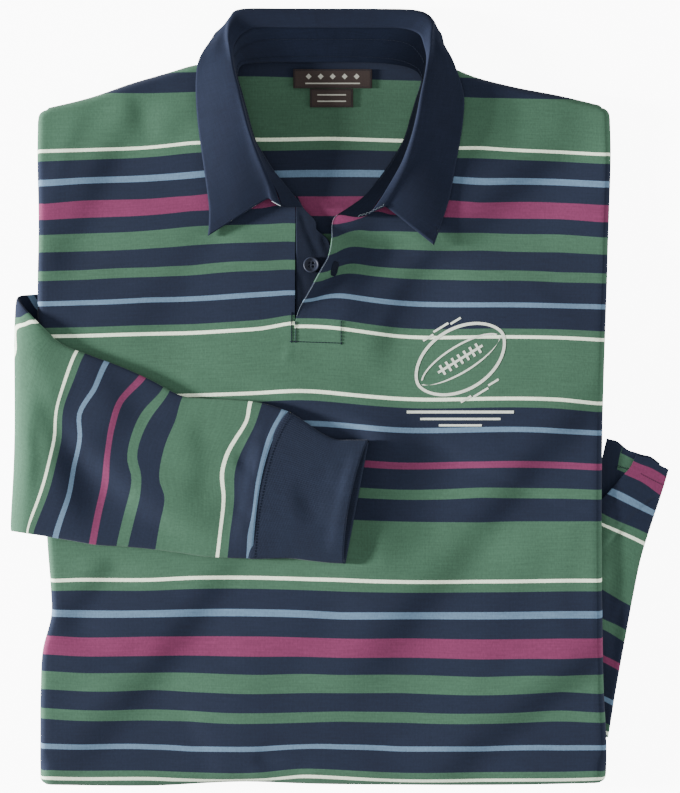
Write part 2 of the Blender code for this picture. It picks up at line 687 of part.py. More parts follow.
CUFF = (
    Tube(-37.2, -12.0, -65.0, -121.6, 90.0, 5.8),
    Tube(-25.5, -19.1, -51.0, -121.2, 90.0, 6.0),
    Tube(-14.3, -27.0, -36.8, -121.0, 90.0, 6.2),
    Tube(-3.0, -31.9, -23.3, -122.6, 90.0, 6.4),
    Tube(9.0, -32.3, -9.8, -124.1, 90.0, 6.7),
    Tube(21.8, -32.3, 4.1, -124.9, 90.0, 7.0),
)
SLEEVE_FOLDS = (
    Fold(-234.0, 34.0, -176.0, -100.0, 11.0, 1.1),
    Fold(-236.0, 52.0, -112.0, -112.0, 12.0, -0.9),
)
FOLD_BOW = 2.8        # how far the sleeve's folded edge draws in between its ends
UNDER_GAP = 0.1       # the run underneath lies this far above the surface
TUBE_ACROSS = 9
EDGE_WALL = 0.022     # the wall at the tube's two edges, as a share of its width
SLEEVE_STATIONS = 21
CUFF_STATIONS = 6


def tube_ring(row, wall):
    """One ring of a flattened tube; wall shrinks it to the tube's inside."""
    across = (1.0 - np.cos(math.pi * np.linspace(0.0, 1.0, TUBE_ACROSS + 1))) / 2.0
    half = (row.thick - 2.0 * wall) / 2.0 * (1.0 - np.abs(2.0 * across - 1.0) ** 3) ** (1.0 / 3.0)
    edge = EDGE_WALL if wall else 0.0
    share = edge + (1.0 - 2.0 * edge) * across
    x = row.upper_x + (row.lower_x - row.upper_x) * share
    y = row.upper_y + (row.lower_y - row.upper_y) * share
    turn = math.radians(row.turn)
    x = x - FOLD_BOW * math.cos(turn) * np.sin(math.pi * share ** 1.5)
    above = stack_top(y) + GAP + row.thick / 2.0
    below = UNDER_GAP + row.thick / 2.0
    z = below + (above - below) * (1.0 + math.sin(turn)) / 2.0
    crease = fold_depth(x, y, SLEEVE_FOLDS) * max(math.sin(turn), 0.0) * np.sqrt(np.sin(math.pi * across))
    out = np.stack((x + half * math.cos(turn), y, z + half * math.sin(turn) - crease), axis=1)
    back = np.stack((x - half * math.cos(turn), y, z - half * math.sin(turn)), axis=1)
    return np.concatenate((out, back[::-1][1:]))


def tube_piece(name, rows, stations, wall, cloth, leftwards=False):
    """A flattened tube with open ends and a wall all round; its rows run right or leftwards."""
    table = spline(np.array(rows), np.linspace(0.0, len(rows) - 1.0, stations + 1))
    outer = np.array([tube_ring(Tube(*row), 0.0) for row in table])
    inner = np.array([tube_ring(Tube(*row), wall) for row in table])
    sheet = Sheet().add(outer, flip=leftwards).add(inner, flip=not leftwards)
    sheet.add(np.stack((outer[0], inner[0])), flip=not leftwards)
    sheet.add(np.stack((outer[-1], inner[-1])), flip=leftwards)
    return sheet.make(name, cloth)


# Tail of the shirt, folded up behind; its right edge shows beyond the body
TAIL_BACK_ROWS = (
    Strip(222.8, -43.8, 247.4, -54.8),
    Strip(218.3, -52.1, 244.0, -66.4),
    Strip(213.5, -58.3, 240.6, -77.0),
    Strip(201.8, -71.7, 233.6, -98.0),
    Strip(189.0, -86.0, 226.2, -122.6),
    Strip(187.0, -112.0, 220.4, -150.8),
    Strip(187.0, -148.0, 213.8, -186.4),
    Strip(187.0, -192.0, 207.4, -221.6),
    Strip(187.0, -226.0, 204.0, -243.4),
    Strip(187.0, -252.0, 201.8, -256.4),
)
TAIL_FRONT_ROWS = (
    Strip(200.6, -31.4, 240.6, -50.6),
    Strip(198.4, -40.0, 239.0, -64.0),
    Strip(196.2, -49.0, 236.0, -77.0),
    Strip(191.0, -62.0, 229.0, -98.0),
    Strip(188.0, -86.0, 221.6, -122.6),
    Strip(187.0, -112.0, 215.2, -150.8),
    Strip(187.0, -148.0, 208.6, -186.4),
    Strip(187.0, -192.0, 202.8, -221.6),
    Strip(187.0, -226.0, 199.4, -243.4),
)
TAIL_TOP = 5.3        # height under the body
TAIL_SLOPE = 1.4      # how much lower it lies at its side edge
TAIL_HEM_DROP = 0.5
TAIL_FOLD_DROP = 0.6
TailRoll = namedtuple("TailRoll", "across height")
TAIL_ROLL = (
    TailRoll(0.0, 1.0),
    TailRoll(0.25, 1.0),
    TailRoll(0.5, 1.0),
    TailRoll(0.75, 1.0),
    TailRoll(0.88, 1.0),
    TailRoll(0.94, 0.95),
    TailRoll(0.98, 0.78),
    TailRoll(1.0, 0.42),
    TailRoll(0.984, 0.07),
)


def tail_top(x, y):
    """Height of the tail, which thins towards its side edge, its hem and the bottom fold."""
    inwards = follow(TAIL_BACK_ROWS, "right_x", y, "right_y") - x
    side = TAIL_SLOPE * (1.0 - smoothstep(3.0, 36.0, inwards))
    hem = TAIL_HEM_DROP * smoothstep(-72.0, -48.0, y)
    fold = TAIL_FOLD_DROP * (1.0 - smoothstep(-254.0, -225.0, y))
    return TAIL_TOP - side - hem - fold


def tail_back(jersey):
    """Back panel's tail, outer face up, with its side edge rolled down to the surface."""
    plan = strip_plan(TAIL_BACK_ROWS, [step.across for step in TAIL_ROLL])
    height = tail_top(plan[..., 0], plan[..., 1]) * np.array([step.height for step in TAIL_ROLL])
    return Sheet().add(raised(plan, height), flip=True).make("tail_back", jersey, JERSEY)


def tail_front(jersey):
    """Front panel's tail, inner face up, against the back panel's; it shows at the vent."""
    plan = strip_plan(TAIL_FRONT_ROWS, np.linspace(0.0, 1.0, 5))
    height = tail_top(plan[..., 0], plan[..., 1]) - JERSEY - GAP
    return Sheet().add(raised(plan, height), flip=True).make("tail_front", jersey, JERSEY)


# Button and labels
BUTTON_X = -21.4
BUTTON_Y = 98.6
BUTTON_SIDES = 24
BUTTON_HOLES = 4
HOLE_RADIUS = 0.9
HOLE_CIRCLE = 1.8     # the holes' centres lie on this radius
Turn = namedtuple("Turn", "radius height")
BUTTON_PROFILE = (
    Turn(0.0, 0.0),
    Turn(4.6, 0.0),
    Turn(6.0, 0.9),
    Turn(6.0, 1.8),
    Turn(5.5, 2.4),
    Turn(4.7, 2.4),
    Turn(4.1, 1.7),
    Turn(0.0, 1.7),
)
LABEL_THICK = 1.0
Box = namedtuple("Box", "left bottom right top")
NECK_LABEL = Box(-35.0, 231.4, 24.0, 245.6)
SIZE_LABEL = Box(-22.5, 217.1, 9.8, 231.0)


def button(plastic):
    """Four-hole shirt button with a raised rim, leaning with the cloth that it lies on."""
    seat = float(stack_top(BUTTON_Y)) - PLACKET_DROP + GAP
    slope = float(stack_top(BUTTON_Y + 1.0) - stack_top(BUTTON_Y - 1.0)) / 2.0
    rings = []
    for step in range(BUTTON_SIDES + 1):
        angle = 2.0 * math.pi * (step + 0.3) / BUTTON_SIDES
        cos, sin = math.cos(angle), math.sin(angle)
        rings.append([(BUTTON_X + at.radius * cos, BUTTON_Y + at.radius * sin,
                       seat + at.height + slope * at.radius * sin) for at in BUTTON_PROFILE])
    piece = Sheet().add(np.array(rings)).make("button", plastic)
    for k in range(BUTTON_HOLES):
        angle = 2.0 * math.pi * (k + 0.5) / BUTTON_HOLES
        x, y = BUTTON_X + HOLE_CIRCLE * math.cos(angle), BUTTON_Y + HOLE_CIRCLE * math.sin(angle)
        bpy.ops.mesh.primitive_cylinder_add(
            vertices=8, radius=HOLE_RADIUS * MM, depth=8.0 * MM, location=(x * MM, y * MM, seat * MM))
        cutter = bpy.context.object
        cutter.name = f"button_hole_{k + 1}"
        cutter.hide_render = True
        cutter.display_type = "WIRE"
        cut = piece.modifiers.new(cutter.name, "BOOLEAN")
        cut.object = cutter
        cut.operation = "DIFFERENCE"
        cut.solver = "EXACT"
    return piece


def label(name, box, woven):
    """A plain woven label sewn flat inside the back neck."""
    heights = np.linspace(box.top, box.bottom, 3)
    plan = strip_plan([Strip(box.left, y, box.right, y) for y in heights], np.linspace(0.0, 1.0, 5))
    grid = raised(plan, back_top(plan[..., 1]) + GAP + LABEL_THICK)
    return Sheet().add(grid, flip=True).make(name, woven, LABEL_THICK)


def main():
    for old in list(bpy.data.objects):
        bpy.data.objects.remove(old, do_unlink=True)
    striped = material("striped_jersey", GREEN, 0.85)
    navy = material("navy_twill", NAVY, 0.8)
    rib = material("navy_rib", NAVY, 0.85)
    plastic = material("button_plastic", BUTTON_NAVY, 0.35)
    woven = material("woven_label", LABEL_BROWN, 0.6)
    front_panel(striped)
    folded_layers(striped)
    back_panel(striped)
    placket_under(navy)
    placket_upper(striped)
    collar_pieces(navy)
    tube_piece("right_sleeve", SLEEVE, SLEEVE_STATIONS, JERSEY, striped, leftwards=True)
    tube_piece("right_cuff", CUFF, CUFF_STATIONS, RIB, rib)
    tail_back(striped)
    tail_front(striped)
    button(plastic)
    label("neck_label", NECK_LABEL, woven)
    label("size_label", SIZE_LABEL, woven)


main()
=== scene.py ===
# %% [markdown]
# # A folded rugby shirt
# A heavy cotton rugby shirt lies on its back, folded for a shelf. Its sides, its left sleeve and
# its tail are folded behind, and the right sleeve comes round the left edge and lies across the
# front. This file dresses the shirt's plain solids: each cell makes one piece of cloth, one
# finish or one row of stitches. Lengths in the tables are millimetres, with X to the right,
# Y towards the collar and Z up from the surface that the shirt lies on.

# %% Load the plain solids
import math
from collections import namedtuple

import bmesh
import bpy
import numpy as np
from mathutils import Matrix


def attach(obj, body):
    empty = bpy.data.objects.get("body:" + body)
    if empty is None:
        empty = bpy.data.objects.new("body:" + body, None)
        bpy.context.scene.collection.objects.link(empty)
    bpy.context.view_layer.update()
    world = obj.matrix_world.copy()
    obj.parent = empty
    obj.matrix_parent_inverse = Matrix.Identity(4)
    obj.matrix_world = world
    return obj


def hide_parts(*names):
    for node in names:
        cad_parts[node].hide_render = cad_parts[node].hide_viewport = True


MM = 0.001
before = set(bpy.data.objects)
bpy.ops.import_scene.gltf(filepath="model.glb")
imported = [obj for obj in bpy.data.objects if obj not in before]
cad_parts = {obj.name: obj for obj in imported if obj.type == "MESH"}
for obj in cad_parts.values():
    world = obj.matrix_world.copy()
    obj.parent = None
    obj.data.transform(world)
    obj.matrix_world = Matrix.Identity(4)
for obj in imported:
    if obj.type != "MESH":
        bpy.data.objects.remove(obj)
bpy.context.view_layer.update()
print("solids:", ", ".join(sorted(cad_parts)))

# %% [markdown]
# ## Camera
# The shirt is looked at from straight above, from far away, so that it keeps its flat outline.
# A long lens on a high camera gives that. The lens follows from the width of the view and the
# camera's height over the middle of the cloth.

# %% Camera
VIEW_TALL = 594.8         # what the frame holds from its lower to its upper edge
CAMERA_UP = 2600.0
CLOTH_MIDDLE = 9.0        # height of the cloth's edges, where the outline is


def in_scene(name, data):
    made = bpy.data.objects.new(name, data)
    bpy.context.scene.collection.objects.link(made)
    return made


camera_data = bpy.data.cameras.new("camera")
camera_data.sensor_width = 36.0
camera_data.lens = 36.0 * (CAMERA_UP - CLOTH_MIDDLE) / VIEW_TALL
camera = in_scene("camera", camera_data)
camera.location = (0.0, 0.0, CAMERA_UP * MM)
bpy.context.scene.camera = camera
print("lens", round(camera_data.lens, 1), "mm at", CAMERA_UP * MM, "m")

# %% [markdown]
# ## Curves through tables
# A pattern cutter draws an outline through a few measured points. These helpers do the same:
# `follow` reads one column of a table on a smooth curve along another column, `spline` runs
# through whole rows, and `ease` goes softly from 0 to 1. `along_line` spaces points evenly on a
# line, `length_along` tells how far along each point is and `sideways` which way is square to it.

# %% Curves
def ease(low, high, value):
    t = np.clip((np.asarray(value, float) - low) / (high - low), 0.0, 1.0)
    return t * t * (3.0 - 2.0 * t)


def hermite(a, b, slope_a, slope_b, t):
    return ((2 * t ** 3 - 3 * t ** 2 + 1) * a + (t ** 3 - 2 * t ** 2 + t) * slope_a
            + (3 * t ** 2 - 2 * t ** 3) * b + (t ** 3 - t ** 2) * slope_b)


def follow(rows, column, at, along="y"):
    ordered = sorted(rows, key=lambda row: getattr(row, along))
    xs = np.array([getattr(row, along) for row in ordered])
    ys = np.array([getattr(row, column) for row in ordered])
    slopes = np.gradient(ys, xs)
    at = np.clip(np.asarray(at, float), xs[0], xs[-1])
    i = np.clip(np.searchsorted(xs, at) - 1, 0, len(xs) - 2)
    step = xs[i + 1] - xs[i]
    return hermite(ys[i], ys[i + 1], step * slopes[i], step * slopes[i + 1], (at - xs[i]) / step)


def spline(knots, at):
    knots = np.asarray(knots, float)
    slopes = np.gradient(knots, axis=0)
    at = np.asarray(at, float)
    i = np.clip(at.astype(int), 0, len(knots) - 2)
    t = (at - i).reshape((-1,) + (1,) * (knots.ndim - 1))
    return hermite(knots[i], knots[i + 1], slopes[i], slopes[i + 1], t)


def more_rows(rows, count):
    return spline(rows, np.linspace(0.0, len(rows) - 1.0, count + 1))


def blend(a, b, t):
    return a + (b - a) * t


def length_along(points, axis=0):
    steps = np.linalg.norm(np.diff(points, axis=axis), axis=-1)
    return np.insert(np.cumsum(steps, axis=axis), 0, 0.0, axis=axis)


def along_line(points, count):
    points = np.asarray(points, float)
    steps = np.hypot(*np.diff(points, axis=0).T)
    reach = np.concatenate(([0.0], np.cumsum(steps)))
    at = np.linspace(0.0, reach[-1], count + 1)
    return np.stack([np.interp(at, reach, points[:, k]) for k in (0, 1)], axis=1)


def length_of(points):
    return np.hypot(*np.diff(np.asarray(points, float), axis=0).T).sum()


def sideways(line):
    along = np.gradient(line, axis=0)
    along = along / np.linalg.norm(along, axis=1, keepdims=True)
    return np.c_[-along[:, 1], along[:, 0]]


print("half way eases to", float(ease(0.0, 1.0, 0.5)))

# %% [markdown]
# ## Pins
# Stripes are knitted straight, and the fold pulls them out of line. To lay a striped cloth as it
# lies, a stylist would pin a few places of it. `pinned` does that: it takes pins (x, y, value)
# and returns the smoothest surface through them, a thin plate spline, which gives the value
# anywhere else.

# %% Pins
def pinned(pins):
    place = np.array([(x, y) for x, y, _ in pins], float)
    value = np.array([v for _, _, v in pins], float)

    def bend(a, b):
        apart = ((a[:, None] - b[None]) ** 2).sum(axis=2)
        return apart * np.log(apart + 1e-6)

    n = len(pins)
    flat = np.c_[np.ones(n), place]
    system = np.zeros((n + 3, n + 3))
    system[:n, :n] = bend(place, place)
    system[:n, n:] = flat
    system[n:, :n] = flat.T
    weights = np.linalg.solve(system, np.r_[value, 0.0, 0.0, 0.0])

    def surface(x, y):
        x, y = np.broadcast_arrays(np.asarray(x, float), np.asarray(y, float))
        at = np.c_[x.ravel(), y.ravel()]
        out = bend(at, place) @ weights[:n] + weights[n] + at @ weights[n + 1:]
        return out.reshape(x.shape)

    return surface


def by_stripe(rows):
    return [(x, y, down) for down, places in rows for x, y in places]


print("pins ready")

# %% [markdown]
# ## Making cloth from grids
# Every piece is a grid of points, as a draper sees cloth: rows down it and threads across. `Cloth`
# gathers such grids, keeps for each point its place in the knit (across and down the shirt, in
# metres, in a UV map called "knit"), welds grids that share an edge and gives the sheet its
# thickness on the inner side. The knit map, not the folded shape, places the stripes and the
# stitches of the knit. `bake` turns a piece's modifiers into plain mesh.

# %% Cloth
class Cloth:
    def __init__(self):
        self.points, self.knit, self.quads = [], [], []

    def add(self, grid, across, down, flip=False):
        grid = np.asarray(grid, float)
        rows, columns = grid.shape[:2]
        first = len(self.points)
        self.points.extend(grid.reshape(-1, 3))
        place = np.stack(np.broadcast_arrays(across, down), axis=-1)
        self.knit.extend(np.broadcast_to(place, (rows, columns, 2)).reshape(-1, 2))
        for i in range(rows - 1):
            for j in range(columns - 1):
                a = first + i * columns + j
                quad = (a, a + 1, a + columns + 1, a + columns)
                self.quads.append(quad[::-1] if flip else quad)
        return self

    def make(self, name, material, thickness=None):
        mesh = bpy.data.meshes.new(name)
        mesh.from_pydata((np.array(self.points) * MM).tolist(), [], self.quads)
        knit = mesh.uv_layers.new(name="knit")
        corners = np.zeros(len(mesh.loops), dtype=np.int32)
        mesh.loops.foreach_get("vertex_index", corners)
        knit.data.foreach_set("uv", (np.array(self.knit)[corners] * MM).ravel())
        weld = bmesh.new()
        weld.from_mesh(mesh)
        bmesh.ops.remove_doubles(weld, verts=weld.verts, dist=0.01 * MM)
        weld.to_mesh(mesh)
        weld.free()
        mesh.shade_smooth()
        mesh.materials.append(material)
        piece = in_scene(name, mesh)
        if thickness:
            wall = piece.modifiers.new("cloth thickness", "SOLIDIFY")
            wall.thickness = thickness * MM
            wall.offset = -1.0
            wall.use_even_offset = False
        print(name, len(mesh.polygons), "faces")
        return piece


def raised(plan, height):
    return np.concatenate((plan, np.broadcast_to(height, plan.shape[:2])[..., None]), axis=2)


def strip_plan(rows, across):
    rows = np.array(rows)
    left, right = rows[:, None, :2], rows[:, None, 2:]
    return left + (right - left) * np.asarray(across)[None, :, None]


def bake(piece):
    baked = bpy.data.meshes.new_from_object(piece.evaluated_get(bpy.context.evaluated_depsgraph_get()))
    piece.modifiers.clear()
    piece.data = baked


print("cloth helpers ready")

# %% [markdown]
# ## Yarn colours
# The jersey is yarn-dyed: navy and green ground, with cream, light blue and maroon lines. The
# order of its stripes repeats every third of a metre. The table gives each stripe's width, and
# the colour ramp of the material takes its steps from it, so the stripes stay sharp and nothing
# is painted by hand.

# %% Yarns and the stripe repeat
YARN = {
    "navy": (0.0100, 0.0150, 0.0325),
    "green": (0.046, 0.108, 0.068),
    "cream": (0.82, 0.93, 0.73),
    "blue": (0.108, 0.178, 0.265),
    "maroon": (0.158, 0.028, 0.081),
}
STRIPES = (
    ("green", 0.35), ("cream", 2.45), ("green", 6.5), ("navy", 15.1), ("blue", 4.5), ("navy", 14.3),
    ("maroon", 14.5), ("navy", 13.8), ("green", 13.7), ("navy", 14.9), ("green", 7.6),
    ("navy", 16.3), ("blue", 5.0), ("navy", 15.9), ("green", 6.2), ("cream", 2.6),
    ("green", 43.4), ("cream", 2.6), ("green", 5.2), ("navy", 14.5), ("blue", 4.7),
    ("navy", 21.6), ("maroon", 4.6), ("navy", 16.7), ("green", 6.9), ("navy", 17.4),
    ("green", 42.4),
)
REPEAT = sum(width for _, width in STRIPES)
print("stripe repeat", round(REPEAT, 1), "mm in", len(STRIPES), "stripes")

# %% [markdown]
# ## Building materials from nodes
# Small helpers keep the node trees short: `node` adds one and fills its inputs, `calculate` is one
# step of arithmetic, `rescaled` stretches a value to a new range and `waves` repeats every few
# millimetres. Whatever is the same all over a surface, such as sheen, is set on the shader itself.

# %% Node helpers
def node(tree, kind, inputs=None, **settings):
    made = tree.nodes.new(kind)
    for name, value in settings.items():
        setattr(made, name, value)
    for socket, value in (inputs or {}).items():
        if isinstance(value, bpy.types.NodeSocket):
            tree.links.new(value, made.inputs[socket])
        else:
            made.inputs[socket].default_value = value
    return made


def calculate(tree, operation, *values):
    return node(tree, "ShaderNodeMath", dict(enumerate(values)), operation=operation).outputs[0]


def rescaled(tree, value, low, high, new_low, new_high):
    return node(tree, "ShaderNodeMapRange", {"Value": value, "From Min": low, "From Max": high,
                                             "To Min": new_low, "To Max": new_high}).outputs[0]


def waves(tree, value, length):
    return calculate(tree, "SINE", calculate(tree, "MULTIPLY", value, 2.0 * math.pi / (length * MM)))


def noise(tree, place, scale, detail):
    return node(tree, "ShaderNodeTexNoise", {"Vector": place, "Scale": scale, "Detail": detail}).outputs[0]


def finish(name, roughness, sheen=0.0, sheen_roughness=0.4, specular=0.3):
    material = bpy.data.materials.new(name)
    material.use_nodes = True
    shader = material.node_tree.nodes["Principled BSDF"]
    shader.inputs["Roughness"].default_value = roughness
    shader.inputs["Sheen Weight"].default_value = sheen
    shader.inputs["Sheen Roughness"].default_value = sheen_roughness
    shader.inputs["Specular IOR Level"].default_value = specular
    return material, material.node_tree, shader


def knit_place(tree):
    uv = node(tree, "ShaderNodeUVMap", uv_map="knit")
    split = node(tree, "ShaderNodeSeparateXYZ", {0: uv.outputs[0]})
    return split.outputs[0], split.outputs[1]


def speckle(tree, across, down, fine_across, fine_down, low, high):
    place = node(tree, "ShaderNodeCombineXYZ", {
        0: calculate(tree, "MULTIPLY", across, fine_across),
        1: calculate(tree, "MULTIPLY", down, fine_down)})
    return rescaled(tree, noise(tree, place.outputs[0], 1.0, 2.0), 0.3, 0.7, low, high)


def dye(tree, shader, colour, *shades):
    if not isinstance(colour, bpy.types.NodeSocket):
        colour = node(tree, "ShaderNodeCombineXYZ", dict(enumerate(colour))).outputs[0]
    for shade in shades:
        colour = node(tree, "ShaderNodeVectorMath", {0: colour, "Scale": shade}, operation="SCALE").outputs[0]
    tree.links.new(colour, shader.inputs["Base Color"])


def emboss(tree, shader, height, distance, strength):
    bump = node(tree, "ShaderNodeBump", {"Height": height, "Distance": distance * MM, "Strength": strength})
    tree.links.new(bump.outputs[0], shader.inputs["Normal"])


print("node helpers ready")

# %% [markdown]
# ## Striped cotton jersey
# A stitch of jersey is a small V, so the edge of a stripe is a row of V tops and not a ruled
# line. The material reads the knit map: the place down the shirt picks the yarn from the ramp,
# a zigzag across gives the V edge, and the same two numbers make the fine ribs of the knit as a
# bump. Cotton yarn takes dye unevenly, which the speckles stand for: one as fine as a yarn, one as
# broad as a hand, and streaks along the rows and columns of stitches.

# %% Striped cotton jersey
WALE = 0.95               # width of one column of stitches
COURSE = 0.75             # height of one row of stitches
KNIT_RELIEF = 0.07        # how strongly the ribs of the knit catch the light


# shade darkens every yarn alike: painted shade, for copies of the jersey that lie in shadow.
def striped_jersey(name, shade=1.0):
    material, tree, shader = finish(name, roughness=0.9, sheen=0.08, sheen_roughness=0.5, specular=0.15)
    across, down = knit_place(tree)
    wale = calculate(tree, "PINGPONG", across, WALE * MM / 2.0)
    vee = calculate(tree, "ADD", down, calculate(tree, "MULTIPLY", wale, 0.7))
    share = calculate(tree, "FRACT", calculate(tree, "DIVIDE", vee, REPEAT * MM))
    ramp = node(tree, "ShaderNodeValToRGB", {0: share})
    ramp.color_ramp.interpolation = "CONSTANT"
    stops = ramp.color_ramp.elements
    start = 0.0
    for number, (yarn, width) in enumerate(STRIPES):
        stop = stops[number] if number < 2 else stops.new(start / REPEAT)
        stop.position = start / REPEAT
        stop.color = (*(shade * tone for tone in YARN[yarn]), 1.0)
        start += width
    yarn_speckle = speckle(tree, across, down, 900.0, 420.0, 0.9, 1.1)
    patch_speckle = speckle(tree, across, down, 26.0, 18.0, 0.95, 1.05)
    course_streak = speckle(tree, across, down, 55.0, 950.0, 0.92, 1.08)
    wale_streak = speckle(tree, across, down, 700.0, 45.0, 0.97, 1.03)
    loop = calculate(tree, "MULTIPLY", waves(tree, vee, COURSE), 0.5)
    relief = calculate(tree, "ADD", loop, waves(tree, across, WALE))
    # Painted shade and highlight: the colour is darker in the hollows of the knit and lighter on its ribs.
    knit_painted_shade = rescaled(tree, relief, -1.5, 1.5, 0.95, 1.04)
    dye(tree, shader, ramp.outputs[0], yarn_speckle, patch_speckle, course_streak, wale_streak, knit_painted_shade)
    emboss(tree, shader, relief, 0.12, KNIT_RELIEF)
    return material


JERSEY_CLOTH = striped_jersey("striped_jersey")
# A darker copy of the jersey: painted shade for the inside of the neck.
JERSEY_PAINTED_SHADE = striped_jersey("striped_jersey_painted_shade", shade=0.84)
print("jersey with", len(STRIPES), "stripes")

# %% [markdown]
# ## Navy collar cloth, rib and small finishes
# The collar and the under side of the placket are a plain, tightly woven navy twill, the cuff is
# a two by two rib, the labels are satin woven and the button is cast polyester. Each gets its own
# small pattern at its real scale: diagonal twill lines, rib wales, satin floats and the clouding
# of cast resin.

# %% Navy twill
COLLAR_HALF = 197.0       # from one end of the collar to the middle of the nape
NAPE_FULLY_LIT = 30.0         # painted light lifts the inside of the collar fully as far as this from the middle
NAPE_UNLIT = 66.0          # and not at all from here


def woven_cloth(name, colour, roughness, lines, slant, bump, sheen, painted_relief_shade=0.12, slub=0.09, nape_light=0.0):
    material, tree, shader = finish(name, roughness=roughness, sheen=sheen, specular=0.15)
    across, down = knit_place(tree)
    diagonal = calculate(tree, "ADD", across, calculate(tree, "MULTIPLY", down, slant))
    weft = calculate(tree, "MULTIPLY", waves(tree, down, 0.7 * lines), 0.4)
    relief = calculate(tree, "ADD", waves(tree, diagonal, lines), weft)
    # Painted shade and highlight: the colour follows the weave's relief, darker in its grooves and lighter on
    # its lines.
    shade = rescaled(tree, relief, -1.4, 1.4, 1.0 - painted_relief_shade, 1.0 + painted_relief_shade)
    fine = speckle(tree, across, down, 1500.0, 700.0, 0.88, 1.12)
    broad = speckle(tree, across, down, 30.0, 24.0, 0.92, 1.08)
    weft_slub = speckle(tree, across, down, 70.0, 1000.0, 1.0 - slub, 1.0 + slub)
    warp_slub = speckle(tree, across, down, 1000.0, 70.0, 1.0 - slub, 1.0 + slub)
    # Painted light: nape_light makes the cloth lighter round the middle of the collar.
    middle = calculate(tree, "ABSOLUTE", calculate(tree, "SUBTRACT", across, COLLAR_HALF * MM))
    nape_painted_light = rescaled(tree, middle, NAPE_FULLY_LIT * MM, NAPE_UNLIT * MM, 1.0 + nape_light, 1.0)
    dye(tree, shader, colour, shade, fine, broad, weft_slub, warp_slub, nape_painted_light)
    emboss(tree, shader, relief, 0.08, bump)
    return material


TWILL_CLOTH = woven_cloth("navy_twill", (0.0074, 0.0112, 0.0254), 0.9, 0.75, 1.0, 0.25, sheen=0.03)
# A darker copy of the twill: painted shade for the under side of the placket.
TWILL_FACING_PAINTED_SHADE = woven_cloth("navy_twill_facing_painted_shade", (0.0060, 0.0092, 0.0205), 0.88, 0.75, 1.0, 0.25, sheen=0.05)
# A darker copy of the twill, painted shade for the inside of the collar, with painted light at the nape.
TWILL_SHADED_NAPE_LIT = woven_cloth("navy_twill_painted_shade_and_light", (0.0075, 0.0112, 0.0245), 0.88, 0.75, -1.0, 0.25,
                           sheen=0.05, nape_light=0.6)
RIB_CLOTH = woven_cloth("navy_rib", (0.0115, 0.0165, 0.033), 0.9, 1.7, 0.0, 0.55, sheen=0.08, painted_relief_shade=0.1)
LABEL_CLOTH = woven_cloth("woven_label", (0.030, 0.021, 0.019), 0.6, 0.4, 0.0, 0.2, sheen=0.05, slub=0.05)
print("twill, rib and label cloth ready")

# %% [markdown]
# ## Thread, plastic and print
# Sewing thread is two plies twisted together, so it is a little brighter on top of each twist.
# The stitches are made later by a geometry node tree and have no knit map, so thread, plastic
# and print read object coordinates.

# %% Thread, plastic and print
def plain_finish(name, colour, roughness, grain, variation, bump=0.0, sheen=0.0, specular=0.3):
    material, tree, shader = finish(name, roughness=roughness, sheen=sheen, specular=specular)
    place = node(tree, "ShaderNodeTexCoord").outputs["Object"]
    clouds = noise(tree, place, grain, 3.0)
    dye(tree, shader, colour, rescaled(tree, clouds, 0.3, 0.7, 1.0 - variation, 1.0 + variation))
    if bump:
        emboss(tree, shader, clouds, bump, 0.5)
    return material


NAVY_THREAD = plain_finish("navy_thread", (0.007, 0.010, 0.020), 0.8, 2500.0, 0.25,
                           bump=0.1, sheen=0.05, specular=0.1)
GREY_THREAD = plain_finish("grey_thread", (0.085, 0.105, 0.120), 0.7, 2500.0, 0.25,
                           bump=0.1, sheen=0.1, specular=0.2)
PALE_THREAD = plain_finish("pale_thread", (0.36, 0.41, 0.45), 0.6, 2500.0, 0.2, bump=0.1, sheen=0.3)
BUTTON_PLASTIC = plain_finish("button_plastic", (0.013, 0.017, 0.032), 0.55, 260.0, 0.12, specular=0.25)
LABEL_YARN = plain_finish("label_yarn", (0.30, 0.30, 0.26), 0.7, 2500.0, 0.2, bump=0.05)
PRINT_INK = plain_finish("print_ink", (0.62, 0.67, 0.58), 0.75, 900.0, 0.16, bump=0.05)
print("small finishes ready")

# %% [markdown]
# ## Outline of the folded body
# The body is folded to a rectangle with soft corners. The tables repeat the outline of the solid
# front panel: its two sides, its shoulders, its bottom fold and its neckline. The functions below
# give a point on that outline, any distance inside it.

# %% Outline tables
Side = namedtuple("Side", "y left right")
SIDES = [Side(*row) for row in (
    (250, -225, 201.6), (214, -226.8, 202.8), (185, -227.4, 203.6), (140, -226.6, 202.4), (80, -226.7, 200.1),
    (0, -225.6, 197.4), (-77, -221.3, 196.2), (-115, -219, 196.3), (-145, -216.7, 196.4),
    (-162, -216.2, 196.7), (-190, -222.8, 197), (-220, -224.4, 197.8), (-260, -224.7, 199.8),
    (-300, -225, 199.6),
)]
Edge = namedtuple("Edge", "x y")
TOP_EDGE = [Edge(*row) for row in (
    (-228, 215), (-217, 217.4), (-187, 224.8), (-157, 235.1), (-127, 243.9), (-112, 248.4), (-78.8, 252),
    (-8, 252), (63.8, 250.9), (84, 247), (98, 241.3), (128, 233.2), (167, 225.6), (203, 217),
)]
BOTTOM_EDGE = [Edge(*row) for row in (
    (-228, -291.3), (-142, -292.1), (-67, -289), (-29, -290.4), (46, -291.4), (121, -291.6), (200, -290),
)]
SHOULDER_Y = 215.0
HEM_Y = -290.0
CORNER_ROUND = 7.0        # radius of the outline's corners
CENTRE_X = -16.3          # where the line down the middle meets the bottom fold
print("outline", SIDES[1].right - SIDES[1].left, "mm wide at the chest")

# %% [markdown]
# ## Points on the outline
# A folded edge is found by walking along the outline. `side_point` and `edge_point` give a point a
# fraction of the way along a side or along the top or bottom edge, any distance inside it, with
# the corners rounded. `coons` fills the cloth between four such edges.

